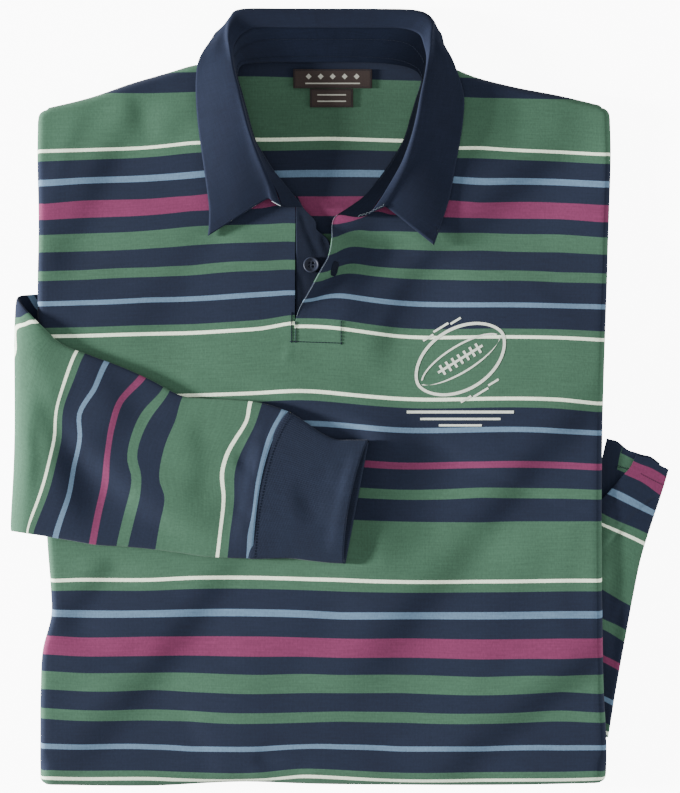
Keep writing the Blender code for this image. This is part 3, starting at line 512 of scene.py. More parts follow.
# %% Points on the outline
def corner_xy(side_x, side_y, inset):
    x = follow(SIDES, "left" if side_x < 0 else "right", SHOULDER_Y if side_y > 0 else HEM_Y)
    x = x - side_x * inset
    y = follow(TOP_EDGE if side_y > 0 else BOTTOM_EDGE, "y", x, "x") - side_y * inset
    return float(x), float(y)


def rounded(x, y, corner, side_x, side_y, inset, runs_down):
    radius = CORNER_ROUND - inset
    distance = abs(y - corner[1]) if runs_down else abs(x - corner[0])
    if radius <= 0.0 or distance >= radius:
        return x, y
    angle = math.pi / 4.0 * (1.0 - distance / radius)
    inward = radius * (1.0 - math.cos(angle))
    along = radius * (1.0 - math.sin(angle))
    if runs_down:
        return corner[0] - side_x * inward, corner[1] - side_y * along
    return corner[0] - side_x * along, corner[1] - side_y * inward


def side_point(side_x, fraction, inset):
    top, bottom = corner_xy(side_x, 1, inset), corner_xy(side_x, -1, inset)
    y = top[1] + (bottom[1] - top[1]) * fraction
    x = float(follow(SIDES, "left" if side_x < 0 else "right", y)) - side_x * inset
    near, side_y = (top, 1) if fraction < 0.5 else (bottom, -1)
    return rounded(x, y, near, side_x, side_y, inset, True)


def edge_point(side_x, side_y, fraction, inset, middle):
    corner = corner_xy(side_x, side_y, inset)
    x = corner[0] + (middle - corner[0]) * fraction
    y = float(follow(TOP_EDGE if side_y > 0 else BOTTOM_EDGE, "y", x, "x")) - side_y * inset
    return rounded(x, y, corner, side_x, side_y, inset, False)


def rim_functions(across, down, top_left, top_right, middle):
    rim = [lambda d, f=f: edge_point(-1, 1, f, d, top_left) for f in across[::-1]]
    rim += [lambda d, f=f: side_point(-1, f, d) for f in down[1:]]
    rim += [lambda d, f=f: edge_point(-1, -1, f, d, middle) for f in across[1:]]
    rim += [lambda d, f=f: edge_point(1, -1, f, d, middle) for f in across[::-1][1:]]
    rim += [lambda d, f=f: side_point(1, f, d) for f in down[::-1][1:]]
    rim += [lambda d, f=f: edge_point(1, 1, f, d, top_right) for f in across[1:]]
    return rim


def coons(top, bottom, start, end, across, down):
    u, v = across[None, :, None], down[:, None, None]
    top, bottom = np.asarray(top)[None], np.asarray(bottom)[None]
    start, end = np.asarray(start)[:, None], np.asarray(end)[:, None]
    corners = ((1 - u) * (1 - v) * top[:, :1] + u * (1 - v) * top[:, -1:]
               + (1 - u) * v * bottom[:, :1] + u * v * bottom[:, -1:])
    return (1 - v) * top + v * bottom + (1 - u) * start + u * end - corners


print("left side half way down:", side_point(-1, 0.5, 0.0))

# %% [markdown]
# ## Heights of the stack
# Twelve and more plies lie under the lower front: the folded sides, the left sleeve and the tail.
# Under the chest there are fewer, so the front steps down softly below the button. These heights
# are the same as the solids' heights, so that every fine cloth lies on its solid.

# %% Heights
JERSEY = 1.5              # one ply of jersey as the solids have it
GAP = 0.3                 # air between two pieces
CHEST_STACK = 9.5         # height of the front under the collar
LIFT = 6.0                # the front is this much higher below LIFT_FULL than above LIFT_TOP
LIFT_FULL, LIFT_TOP = 80.0, 121.0
BOTTOM_ROLL = 15.0        # length over which the rolled edge comes down to the floor at the bottom
RETURN = 28.0             # how far the rolled edge runs back underneath
NECK_DROP = 3.4           # how much lower the inside of the back lies


def lift(y):
    return LIFT * (1.0 - ease(LIFT_FULL, LIFT_TOP, y))


def stack_top(y):
    return CHEST_STACK + lift(y)


def roll_base(y):
    bottom = follow(BOTTOM_EDGE, "y", CENTRE_X, "x")
    return lift(y) * ease(bottom + BOTTOM_ROLL * 0.5, bottom + BOTTOM_ROLL * 1.5, y)


print("stack", float(stack_top(200.0)), "mm at the chest and", float(stack_top(0.0)), "mm below")

# %% [markdown]
# ## Creases
# A stylist can't press every fold flat. Each row of the table is one soft crease: three points
# that it runs through, the half width of its flank, the depth of its trough, and its step, by
# which the cloth on the left of the line stands higher and on the right lower. A negative depth
# makes a soft ridge. They differ in length, width and depth and fade out at both ends, as the
# folds of one real cloth do.

# %% Creases of the front
CREASE_STEPS = 14         # straight steps that follow each crease's curve
Crease = namedtuple("Crease", "x0 y0 x1 y1 x2 y2 flank depth step")
FRONT_CREASES = [Crease(*row) for row in (
    # right chest: two long folds from the side towards the placket
    (200, 196, 106, 134, 34, 36, 14.4, 0.5, 1.09), (82, 112, 48, 76, 33, 22, 8.4, 0.4, 0.4),
    (178, 232, 150, 168, 84, 108, 19.2, 0.33, 0.94), (8, 103, -3, 96, -14, 84, 3.2, 0.55, 0.35),
    # right side to the bottom fold
    (214, 16, 122, -84, 10, -226, 15.6, 0.61, 1.45), (152, -40, 118, -92, 84, -130, 10.8, 0.22, 0.3),
    (206, -190, 150, -230, 74, -290, 13.2, 0.55, 1.6),
    # left chest
    (-140, 226, -178, 164, -214, 78, 13.2, 0.55, 1.01), (-98, 128, -122, 84, -152, 32, 16.8, 0.39, 0.51),
    (-104, 214, -120, 204, -132, 186, 8.4, 0.28, 0.36),
    # left lower half
    (-72, -112, -132, -200, -208, -286, 14.4, 0.55, 1.23),
    (-170, -116, -186, -146, -210, -176, 10.8, 0.44, 0.94),
    (-150, -184, -180, -206, -216, -216, 9.6, 0.28, 0.3),
    # right of the cuff, where the cloth comes down from the sleeve
    (62, -20, 46, -70, 52, -128, 24, 0.66, 1.89),
    # small ones
    (-196, 208, -216, 150, -216, 92, 8.4, -0.44, 0), (-158, 228, -149, 206, -147, 188, 8.4, 0.5, 0.36),
    (130, 224, 131, 206, 127, 186, 8.4, 0.55, 0.18), (46, -256, -8, -260, -62, -255, 9.6, 0.5, 0.18),
    (-64, -272, -48, -279, -26, -290, 6, 0.5, 0.24), (10, 12, 60, -2, 108, 4, 12, 0.28, 0.12),
    (148, 92, 172, 72, 200, 64, 10.8, 0.44, 0.18), (-6, -150, -28, -190, -66, -222, 16.8, 0.33, 0.3),
    (168, -100, 132, -160, 120, -214, 14.4, 0.22, 0.36), (186, -92, 176, -140, 182, -186, 9.6, 0.28, 0.12),
    (-120, -236, -104, -262, -98, -288, 8.4, 0.28, -0.12), (-198, 60, -170, 86, -134, 96, 10.8, 0.28, -0.12),
    (38, 118, 30, 98, 10, 86, 6, 0.61, 0.24), (36, 72, 22, 60, 4, 54, 7.2, 0.39, 0.12),
    (-46, 108, -66, 96, -94, 98, 9.6, 0.28, 0.12), (-40, 62, -64, 50, -96, 52, 9.6, 0.22, 0.12),
    (162, 22, 132, 38, 96, 40, 10.8, 0.28, 0.12), (-60, -150, -96, -162, -128, -152, 12, 0.22, 0.12),
    (-38, 39.5, -38.6, 34, -40.5, 27, 2.2, -0.4, 0),
)]


def curve_through(crease):
    t = np.linspace(0.0, 1.0, CREASE_STEPS + 1)[:, None]
    ends = np.array(((crease.x0, crease.y0), (crease.x1, crease.y1), (crease.x2, crease.y2)))
    return 2 * (t - 0.5) * (t - 1) * ends[0] - 4 * t * (t - 1) * ends[1] + 2 * t * (t - 0.5) * ends[2]


def crease_depth(x, y, creases):
    x, y = np.broadcast_arrays(np.asarray(x, float), np.asarray(y, float))
    total = np.zeros(x.shape)
    for crease in creases:
        line = curve_through(crease)
        best = np.full(x.shape, 1e9)
        side = np.zeros(x.shape)
        share = np.zeros(x.shape)
        for k, (start, end) in enumerate(zip(line[:-1], line[1:])):
            run = end - start
            length = np.hypot(*run)
            t = ((x - start[0]) * run[0] + (y - start[1]) * run[1]) / length ** 2
            inside = np.clip(t, -1.6 if k == 0 else 0.0, 2.6 if k == len(line) - 2 else 1.0)
            away = np.hypot(x - start[0] - inside * run[0], y - start[1] - inside * run[1])
            nearer = away < best
            best = np.where(nearer, away, best)
            across = ((x - start[0]) * run[1] - (y - start[1]) * run[0]) / length
            side = np.where(nearer, np.sign(across) * away, side)
            share = np.where(nearer, (k + inside) / (len(line) - 1), share)
        fade = ease(-0.12, 0.2, share) * (1.0 - ease(0.8, 1.12, share))
        uneven = 0.88 + 0.12 * np.sin(share * 9.0 + crease.x0)
        off = side / (crease.flank * (0.85 + 0.3 * share))
        total = total + fade * uneven * (crease.depth * np.exp(-off ** 2)
                                         - 1.65 * crease.step * off / (1.0 + off ** 2 / 3.0) ** 1.5)
    return total


print(len(FRONT_CREASES), "creases on the front")

# %% [markdown]
# ## Where the stripes run on the front
# The front was cut with level stripes, and the folding drew them a little up or down. Each row
# of the table is one stripe edge, by its place in the repeat, with its heights at eleven columns.
# The pinned surface through them gives the stripe at every point between, and the small bends
# are what make the stripes look like cloth and not like paint.

# %% Stripe pins of the front
PIN_COLUMNS = (-220.5, -194.0, -141.8, -111.8, -59.3, -29.3, 0.8, 45.8, 105.8, 165.8, 194.3)
SHIRT_PINS = (
    (-375.7, (None, 228, 227.6, 228.4, None, None, None, None, 224, 223, 223.2)),
    (-333.7, (186.4, 187.1, 189.3, 192.4, None, None, None, None, 188.6, 185.6, 184.1)),
    (-308.9, (162.4, 163.9, 166.1, 168.4, None, None, None, None, 163.6, 163.1, 161.6)),
    (-290.2, (145.1, 147.4, 148.9, 151.1, None, None, None, None, 146, 145.9, 144.4)),
    (-275.2, (132.4, 133.9, 136.1, 139.1, None, None, None, None, 133.9, 133.1, 130.9)),
    (-247.4, (107.6, 108.4, 110.6, 112.9, 114.9, None, 110.6, 109.9, 109.1, 107.6, 106.1)),
    (-233.9, (94.1, 94.9, 97.1, 98.6, 101.6, None, 97.9, 96.4, 94.9, 93.4, 92.6)),
    (-209.2, (71.6, 72.4, 74.6, 75.4, 78.4, 77, 77.6, 72.4, 70.9, 70.1, 69.4)),
    (-182.9, (None, 46.9, 48.4, 49.1, 52.1, 54, 52.5, 46.5, 46.1, 45.4, 43.9)),
    (-137.2, (None, None, None, 3.6, 5.6, 7.1, 4.9, 1.1, 1.1, 0.4, -2.6)),
    (-113.2, (None, None, None, None, None, None, -19.9, -23.6, -23.2, -24.4, -25.9)),
    (-87, (None, None, None, None, None, None, None, -49.9, -49.1, -49.5, -51)),
    (-59.2, (None, None, None, None, None, None, None, -76.9, -75.4, -76.1, -76.9)),
    (-42, (None, None, None, None, None, None, None, -93.4, -94.1, -93.4, -93.4)),
    (0, (-135.6, -134.6, -134.6, -133.1, -133.1, -133.9, -134.6, -136.1, -136.1, -135.4, -135.4)),
    (24.8, (-159.5, -160.1, -160.1, -159.4, -159.4, -160.1, -161.6, -161.6, -161.6, -160.9, -160.9)),
    (43.5, (-178.1, -179.6, -178.9, -178.9, -178.9, -179.6, -180.4, -180.4, -181.1, -180.4, -180.4)),
    (71.3, (-205.1, -206.6, -206.6, -206.6, -208.1, -207.4, -208.1, -208.1, -209.6, -208.9, -208.1)),
    (86.3, (-219.4, -220.9, -220.1, -221.6, -223.1, -222.4, -222.4, -222.4, -223.9, -221.6, -223.1)),
    (108.8, (-241.9, -243.4, -243.4, -244.1, -245.6, -244.9, -244.1, -244.9, -245.6, -244.1, -245)),
    (124.5, (-259.1, -259.9, -259.9, -261.4, -261.4, -259.9, -259.9, -261.4, -261.4, -260.6, -260.6)),
    (150.8, (-283.9, -284.6, -284.6, -285.6, -285.8, -282.9, -283.9, -286.1, -285.8, -285.4, -284.6)),
)
shirt_down = pinned([(x, y, down) for down, row in SHIRT_PINS
                     for x, y in zip(PIN_COLUMNS, row) if y is not None])
print("stripe place at the hem fold:", round(float(shirt_down(0.0, -290.0)), 1), "mm")

# %% [markdown]
# ## Front of the shirt
# The front is one piece of jersey from shoulder to bottom fold, slit down the middle for the
# placket. It could be a simulated sheet, but its place is known all round, so it is lofted: each
# half is filled between its outline and the neck, and every outer edge turns down in a round
# roll and runs back underneath. The right half carries on over the placket to its free edge,
# which curls away from the button.

# %% Front shell
NECK_LEFT = -78.75
NECK_RIGHT = 63.75
LEFT_OPENING = ((-77.2, 240.4), (-70.9, 217), (-64.9, 193.9), (-58.9, 182.6), (-51, 168),
                (-37.4, 150.4), (-33.6, 141), (-33.6, 118), (-33.6, 80), (-33.9, 41))
RIGHT_OPENING = ((61.9, 240.4), (55.5, 217), (49.1, 193.9), (43.1, 182.6), (34.5, 168.4),
                 (18.4, 149.6), (3, 139), (-4, 134.8), (-6.2, 128), (-6.2, 117.4), (-8.5, 105.4),
                 (-14.3, 94.6), (-20.3, 83.4), (-25.5, 74.4), (-30.3, 66.4), (-33.4, 56),
                 (-33.9, 41))
FREE_EDGE = RIGHT_OPENING[6:]
OPENING_ROWS = 92
FRONT_ROWS = 128
COLUMNS = 74
ROLL_STEPS = 11
CENTRE_FOLD = (-24.0, -60.0)    # where the line down the middle passes below the placket
EDGE_CLOSE = 0.12               # the last thread before a cut edge lies this close to it


def smooth_line(points, count):
    return along_line(more_rows(points, 12 * len(points) - 1), count)


def distance_to(points, x, y):
    best = np.full(np.shape(x), 1e9)
    for (ax, ay), (bx, by) in zip(points[:-1], points[1:]):
        run = np.array((bx - ax, by - ay))
        t = np.clip(((x - ax) * run[0] + (y - ay) * run[1]) / (run @ run), 0.0, 1.0)
        best = np.minimum(best, np.hypot(x - ax - t * run[0], y - ay - t * run[1]))
    return best


def covered(x, y):
    sleeve = ease(12.0, 0.0, y - (60.0 - 0.36 * (x + 226.0))) * ease(-132.0, -110.0, y) * ease(34.0, 10.0, x)
    return np.clip(sleeve, 0.0, 1.0)


# Each fall is a place where the cloth steps down over something under it: its middle, the way it
# turns, its half width across and along, and how deep it drops.
Fall = namedtuple("Fall", "x y turn across along drop")
FALLS = [Fall(*row) for row in (
    (108, 182, -0.9, 24, 95, 2.4), (42, 92, -0.85, 13, 46, 1.1), (-166, 168, -1.05, 26, 90, 1.2),
    (70, -72, -0.15, 22, 60, 1), (20, 118, -0.25, 17, 34, 2.9), (-188, 210, -0.6, 12, 32, 1.9),
)]


def fallen(x, y):
    total = 0.0
    for fall in FALLS:
        cos, sin = math.cos(fall.turn), math.sin(fall.turn)
        across = ((x - fall.x) * cos + (y - fall.y) * sin) / fall.across
        along = (-(x - fall.x) * sin + (y - fall.y) * cos) / fall.along
        rise = (1.0 + np.tanh(across)) * np.exp(-((across + 0.2) / 3.2) ** 2)
        total = total + 0.5 * fall.drop * rise * np.exp(-along ** 2)
    return total


def settle(x, y):
    return (0.35 * np.sin(x / 31.0 + 0.4 * np.sin(y / 37.0)) * np.sin(y / 43.0 + 1.1)
            + 0.25 * np.sin((x + 0.7 * y) / 19.0 + 2.0) * np.sin((y - 0.4 * x) / 27.0))


def front_height(x, y):
    folds = crease_depth(x, y, FRONT_CREASES) + fallen(x, y) + settle(x, y)
    folds = np.where(folds < 0.0, folds * (1.0 - covered(x, y)), folds)
    return stack_top(y) - folds


def placket_lift(x, y):
    near = distance_to(FREE_EDGE, x, y)
    beside = 1.0 * (1.0 - ease(0.0, 26.0, x)) * ease(40.8, 50.0, y) * (1.0 - ease(116.0, 140.0, y))
    raised_edge = 4.6 * np.exp(-near / 10.0) * ease(56.0, 92.0, y) * (1.0 - ease(112.0, 134.0, y))
    curl = 0.6 * np.exp(-(near / 4.0) ** 2) * ease(52.0, 78.0, y) * (1.0 - ease(116.0, 136.0, y))
    return beside + raised_edge + curl


# Each pull drags the stripes round one point down, or up where the drop is below zero.
Pull = namedtuple("Pull", "x y across down drop")
PLACKET_PULLS = (Pull(27.0, 138.5, 8.5, 7.0, -3.4), Pull(14.0, 128.0, 7.0, 7.5, -1.8),
                 Pull(6.0, 134.0, 18.0, 9.0, 4.5), Pull(8.0, 104.0, 14.0, 15.0, -2.4),
                 Pull(18.0, 62.0, 22.0, 14.0, 0.8))
SLOT_PULLS = (Pull(-42.0, 140.5, 12.0, 6.0, -2.8),)


def pulled(x, y, pulls):
    return sum(pull.drop * np.exp(-((x - pull.x) / pull.across) ** 2 - ((y - pull.y) / pull.down) ** 2)
               for pull in pulls)


def placket_pull(x, y):
    near = distance_to(FREE_EDGE, x, y)
    along = 6.5 * np.exp(-(near / 9.5) ** 2) * ease(58.0, 84.0, y) * (1.0 - ease(132.0, 150.0, y))
    return along + pulled(x, y, PLACKET_PULLS)


def slot_pull(x, y):
    return pulled(x, y, SLOT_PULLS) - 2.6 * np.exp(-((x + 33.6) / 18.0) ** 2) * ease(20.0, 48.0, y)


def rolled_edges(rim):
    angles = np.radians(np.linspace(90.0, -90.0, ROLL_STEPS + 1))
    rings = []
    for place in rim:
        base = float(roll_base(place(0.0)[1]))
        radius = (float(stack_top(place(0.0)[1])) - base) / 2.0
        top = float(front_height(*place(radius)))
        ring = [(*place(radius * (1.0 - math.cos(angle))), base + (top - base) * (1.0 + math.sin(angle)) / 2.0)
                for angle in angles]
        ring += [(*place(inset), base) for inset in (radius * 0.5 + RETURN * 0.5, RETURN)]
        rings.append(ring)
    return np.array(rings)


def front_halves(inner, across, down):
    rows = OPENING_ROWS + FRONT_ROWS
    shoulder_left, hem_left = COLUMNS, COLUMNS + rows
    hem_middle, hem_right = hem_left + COLUMNS, hem_left + 2 * COLUMNS
    shoulder_right = hem_right + rows
    centre = along_line([LEFT_OPENING[-1], CENTRE_FOLD, inner[hem_middle]], FRONT_ROWS)
    left_open = np.concatenate((smooth_line([inner[0], *LEFT_OPENING], OPENING_ROWS), centre[1:]))
    right_open = np.concatenate((smooth_line([inner[-1], *RIGHT_OPENING], OPENING_ROWS), centre[1:]))
    left = coons(inner[shoulder_left::-1], inner[hem_left:hem_middle + 1],
                 inner[shoulder_left:hem_left + 1], left_open, 1.0 - across[::-1], down)
    right = coons(inner[:shoulder_right - 1:-1], inner[hem_middle:hem_right + 1],
                  right_open, inner[hem_right:shoulder_right + 1][::-1], 1.0 - across[::-1], down)
    left[:, -2] = blend(left[:, -1], left[:, -2], EDGE_CLOSE)
    right[:, 1] = blend(right[:, 0], right[:, 1], EDGE_CLOSE)
    return left, right


def build_front():
    down = np.linspace(0.0, 1.0, OPENING_ROWS + FRONT_ROWS + 1)
    across = np.linspace(0.0, 1.0, COLUMNS + 1) ** 0.9
    rings = rolled_edges(rim_functions(across, down, NECK_LEFT, NECK_RIGHT, CENTRE_X))
    left, right = front_halves(rings[:, 0, :2], across, down)
    cloth = Cloth()
    for half, lifted, pull in ((left, 0.0, slot_pull), (right, 1.0, placket_pull)):
        x, y = half[..., 0], half[..., 1]
        cloth.add(raised(half, front_height(x, y) + lifted * placket_lift(x, y)),
                  x, shirt_down(x, y + pull(x, y)), flip=True)
    top_x, top_y = rings[:, :1, 0], rings[:, :1, 1]
    outwards = rings[:, ROLL_STEPS // 2, :2] - rings[:, 0, :2]
    outwards = outwards / np.linalg.norm(outwards, axis=1, keepdims=True)
    rolled = length_along(rings, axis=1)
    cloth.add(rings, top_x + rolled * outwards[:, None, 0],
              shirt_down(top_x, top_y) - rolled * outwards[:, None, 1])
    return cloth.make("front", JERSEY_CLOTH, 1.1)


front = build_front()

# %% [markdown]
# ## Back of the neck
# Inside the collar the inner face of the back shows, with the same stripes. It lies a few
# millimetres lower than the front, which gives the neck its depth. Its jersey is a darker copy of
# the front's, as painted shade for the hollow of the neck.

# %% Inside of the back
Strip = namedtuple("Strip", "left_x left_y right_x right_y")
BACK_ROWS = [Strip(*row) for row in (
    (-71, 252.4, 56, 252), (-76, 249.4, 61, 248.6), (-86, 241, 71, 240), (-82, 226, 67, 225),
    (-76, 207, 62, 207), (-71, 189, 56, 189), (-63, 171, 46, 171), (-54, 153, 33, 153), (-46, 137, 16, 137),
    (-42, 121, 10, 121), (-40, 105, 8, 105),
)]
BACK_PINS = (
    (-375.7, ((-60, 240.4), (-8, 238.9), (50, 237.4))), (-333.7, ((-60, 195.5), (-8, 196.1), (40, 194.7))),
    (-308.9, ((-50, 169.4), (-8, 169.9), (30, 169.7))), (-290.2, ((-30, 150.9), (10, 151))),
    (-275.2, ((-20, 135.6), (0, 135.6))), (-262.4, ((-10, 122.4),)), (-247.4, ((-10, 107.6),)),
)
back_down = pinned(by_stripe(BACK_PINS))


def back_top(x, y):
    ripple = 0.35 * np.sin((x + 20.0) / 26.0) * np.sin((y - 120.0) / 38.0)
    sag = 0.9 * np.exp(-((x + 52.0 - 0.28 * (y - 180.0)) / 14.0) ** 2) * ease(120.0, 160.0, y)
    return stack_top(y) - NECK_DROP - sag * 0.5 + ripple


def lay(name, plan, height, down, material, thickness):
    x, y = plan[..., 0], plan[..., 1]
    return Cloth().add(raised(plan, height(x, y)), x, down(x, y), flip=True).make(name, material, thickness)


def down_the_cloth(x, y):
    return y


back_inside = lay("back_inside", strip_plan(more_rows(BACK_ROWS, 64), np.linspace(0.0, 1.0, 64)),
                  back_top, back_down, JERSEY_PAINTED_SHADE, 1.1)

# %% [markdown]
# ## Under side of the placket
# The button side of the placket is faced with the collar's navy twill. It lies under the free
# edge of the front and carries the button, with a soft fold running down to it from the neck.
# Its twill is a darker copy, as painted shade for where it lies under the front's edge.

# %% Under placket
UNDER_PLACKET_ROWS = [Strip(*row) for row in (
    (-33, 150.4, -32, 150.4), (-33, 143, -27, 141), (-33, 132, -18.6, 132), (-33, 125.4, -17.2, 125.4),
    (-33, 121, -13, 121.6), (-33, 114, -7.6, 115.2), (-33, 96, -3.5, 96), (-33, 78, -1.5, 78),
    (-33, 60, 0.3, 60), (-33, 39.9, 0.3, 39.9),
)]
PLACKET_DROP = 0.4
UNDER_CREASES = [Crease(*row) for row in (
    (-30, 138, -24, 120, -15, 102, 2.4, 0.25, 0.2), (-31, 92, -27, 76, -29, 58, 3, 0.3, 0.1),
    (-14, 122, -11, 112, -7, 104, 2.5, 0.2, 0.2),
)]


def under_top(x, y):
    return stack_top(y) - PLACKET_DROP - crease_depth(x, y, UNDER_CREASES)


under_placket = lay("under_placket", strip_plan(more_rows(UNDER_PLACKET_ROWS, 90), np.linspace(0.0, 1.0, 28)),
                    under_top, down_the_cloth, TWILL_FACING_PAINTED_SHADE, 1.0)

# %% [markdown]
# ## Collar
# The collar is one band of navy twill: a stand that rises from the neck seam, a roll line, and a
# fall that lies on the front and ends in two points. At the back the fall is folded under. Each
# row of the table is a section through it; the spline turns 27 of them into a smooth band. The
# inside is made as its own piece because it is painted: a darker copy of the twill as painted
# shade, made lighter round the middle of the nape as painted light.

# %% Collar sections
Section = namedtuple("Section", "neck_x neck_y roll_x roll_y edge_x edge_y roll_z edge_z wrap")
COLLAR = [Section(*row) for row in (
    (-27.5, 142.2, -52.9, 149, -99, 120.4, 14.5, 11.4, 0),
    (-42, 160.1, -55.5, 157.9, -98.3, 129.4, 16, 11.4, 0),
    (-50.3, 170.6, -60, 169.9, -98.3, 142.1, 18, 11.4, 0),
    (-57.8, 182.6, -65.3, 184.9, -100.5, 160.1, 20, 11.4, 0),
    (-63.8, 193.9, -69.8, 201.4, -103.5, 181.1, 21.5, 11.4, 0),
    (-69, 212.6, -74.3, 217.9, -106.5, 203.6, 22, 11.4, 0),
    (-73.5, 229.1, -78, 231.4, -108, 222.4, 21.5, 11.4, 0),
    (-76.5, 240.4, -81, 247.9, -108, 238.9, 19.5, 11.4, 0),
    (-74.3, 247.9, -84, 262.9, -105.8, 252.8, 17, 10.8, 0.25),
    (-65.3, 250.1, -85.6, 273.6, -98, 266.4, 14, 5, 0.6),
    (-51.8, 250.9, -83.6, 283.8, -90.2, 275.2, 11, 1.6, 0.9),
    (-36.8, 250.9, -75.4, 290, -78, 259.9, 9, 0.4, 1),
    (-21.8, 250.9, -42.8, 290.6, -44.3, 256.4, 8.4, 0.4, 1),
    (-6, 250.9, -6.8, 290.6, -6.8, 255.8, 8.4, 0.4, 1), (9.8, 250.9, 29.3, 290.4, 30.8, 256.4, 8.4, 0.4, 1),
    (24.8, 250.5, 58.6, 289.2, 62, 259.9, 9, 0.4, 1), (38.3, 249.4, 70, 283.4, 74.8, 273.6, 11, 1.6, 0.9),
    (50.3, 247.1, 69.8, 271.9, 78.8, 263.6, 14, 5, 0.6),
    (58.5, 242.6, 68.3, 259.9, 84.6, 252.6, 17, 10.8, 0.25),
    (60.8, 235.9, 65.3, 244.9, 89, 240.4, 19.5, 11.4, 0), (57, 223.9, 63, 228.4, 93, 225.4, 21.5, 11.4, 0),
    (52.5, 208.9, 60.8, 211.1, 92.3, 207.4, 22, 11.4, 0), (48, 193.9, 57, 193.9, 90, 190.9, 21.5, 11.4, 0),
    (39.8, 178.9, 51.8, 175.9, 86.3, 171.4, 20, 11.4, 0),
    (29.3, 163.9, 45.8, 162.4, 82.5, 150.4, 18, 11.4, 0),
    (17.3, 149.6, 39.8, 151.9, 76.5, 130.9, 16, 11.4, 0),
    (-1.8, 137.2, 33.4, 142.8, 70.5, 113.6, 14.5, 11.4, 0),
)]
COLLAR_SEAM = 1.4         # where stand and fall meet, counted in knots from the neck seam
TWILL = 1.3               # one ply of twill as the solids have it
NECK_SIDE_Z, NECK_BACK_Z = 11.4, 8.2                  # height of the neck seam, beside and behind
ROLL_INSIDE, ROLL_OUTSIDE, ROLL_BACK = 2.6, 3.6, 4.0  # half widths of the roll, beside and behind


def collar_knots(row):
    at = Section(*row)
    wrap = min(max(at.wrap, 0.0), 1.0)
    neck, roll = np.array((at.neck_x, at.neck_y)), np.array((at.roll_x, at.roll_y))
    edge = np.array((at.edge_x, at.edge_y))
    out = (roll - neck) / np.linalg.norm(roll - neck)
    leafwards = (edge - roll) / np.linalg.norm(edge - roll)
    on_front = float(stack_top(at.edge_y)) + TWILL + 2.0 * GAP
    edge_z = blend(max(at.edge_z, on_front), at.edge_z, wrap)
    neck_z = blend(NECK_SIDE_Z, NECK_BACK_Z, wrap)
    stand_z = blend(neck_z + 0.55 * (at.roll_z - neck_z), neck_z + 0.5, wrap)
    inner = roll - out * blend(ROLL_INSIDE, ROLL_BACK, wrap)
    outer = roll + leafwards * blend(ROLL_OUTSIDE, 0.0, wrap)
    outer_z = blend(at.roll_z - 1.0, at.roll_z * 0.54, wrap)
    leaf_z = blend(blend(edge_z, at.roll_z, 0.54), edge_z + 0.2, wrap)
    return ((*neck, neck_z), (*blend(neck, roll, 0.45), stand_z), (*inner, at.roll_z),
            (*outer, outer_z), (*blend(roll, edge, 0.5), leaf_z), (*edge, edge_z))


COLLAR_STATIONS = 200
COLLAR_KNOTS = [collar_knots(row) for row in more_rows(COLLAR, COLLAR_STATIONS)]
print("collar in", len(COLLAR_KNOTS), "sections")

# %% [markdown]
# ## The two faces of the collar
# Each section becomes a row of points, and both ends of the band sag a little where the collar
# was buttoned up and pulled open. The stand carries faint ripples along its stitching and the
# fall broader ones, as fused collar cloth has after washing.

# %% Collar stand and fall
def end_sag(along, to_end, at):
    return (4.0 * np.exp(-(along / 5.0) ** 2 - ((at - 1.3) / 0.9) ** 2)
            + 5.4 * np.exp(-(to_end / 10.5) ** 2 - ((at - 1.1) / 0.8) ** 2))


def collar_band(name, first, last, count, material, ripple):
    at = np.linspace(first, last, count)
    grid = np.array([spline(knots, at) for knots in COLLAR_KNOTS])
    down = length_along(grid, axis=1)
    reach = length_along(grid[:, count // 2])
    grid[..., 2] += ripple(reach[:, None] / reach[-1], at[None, :])
    grid[..., 1] -= end_sag(reach[:, None], reach[-1] - reach[:, None], at[None, :])
    print(name, round(reach[-1]), "mm long")
    return Cloth().add(grid, reach[:, None], down, flip=True).make(name, material, 1.2)


def stand_ripple(share, at):
    quiet = ease(0.02, 0.1, share) * (1.0 - ease(0.9, 0.98, share)) * ease(0.0, 0.4, at)
    return 0.07 * quiet * np.sin(share * 71.0 + 2.0 * at)


def fall_ripple(share, at):
    body = ease(2.4, 3.2, at) * (1.0 - ease(4.4, 5.0, at))
    return body * (0.2 * np.sin(share * 23.0 + at) - 0.3 * np.exp(-((share - 0.07) / 0.03) ** 2))


collar_stand = collar_band("collar_inside", 0.0, COLLAR_SEAM, 16, TWILL_SHADED_NAPE_LIT, stand_ripple)
collar_fall = collar_band("collar_leaf", COLLAR_SEAM, 5.0, 46, TWILL_CLOTH, fall_ripple)

# %% [markdown]
# ## Right sleeve and cuff
# The sleeve is a flattened tube. It lies across the front from the cuff to the left edge, turns
# there in a soft fold and runs back under the body. Each row gives the tube's upper and lower
# edge and how far round the turn it is: 90 degrees on top, 270 underneath. It also gives the
# tube's thickness, how far its middle bows to the left and how far the upper ply draws back at the
# mouth. The cuff carries the tube on in ribbed knit and ends in that open mouth.

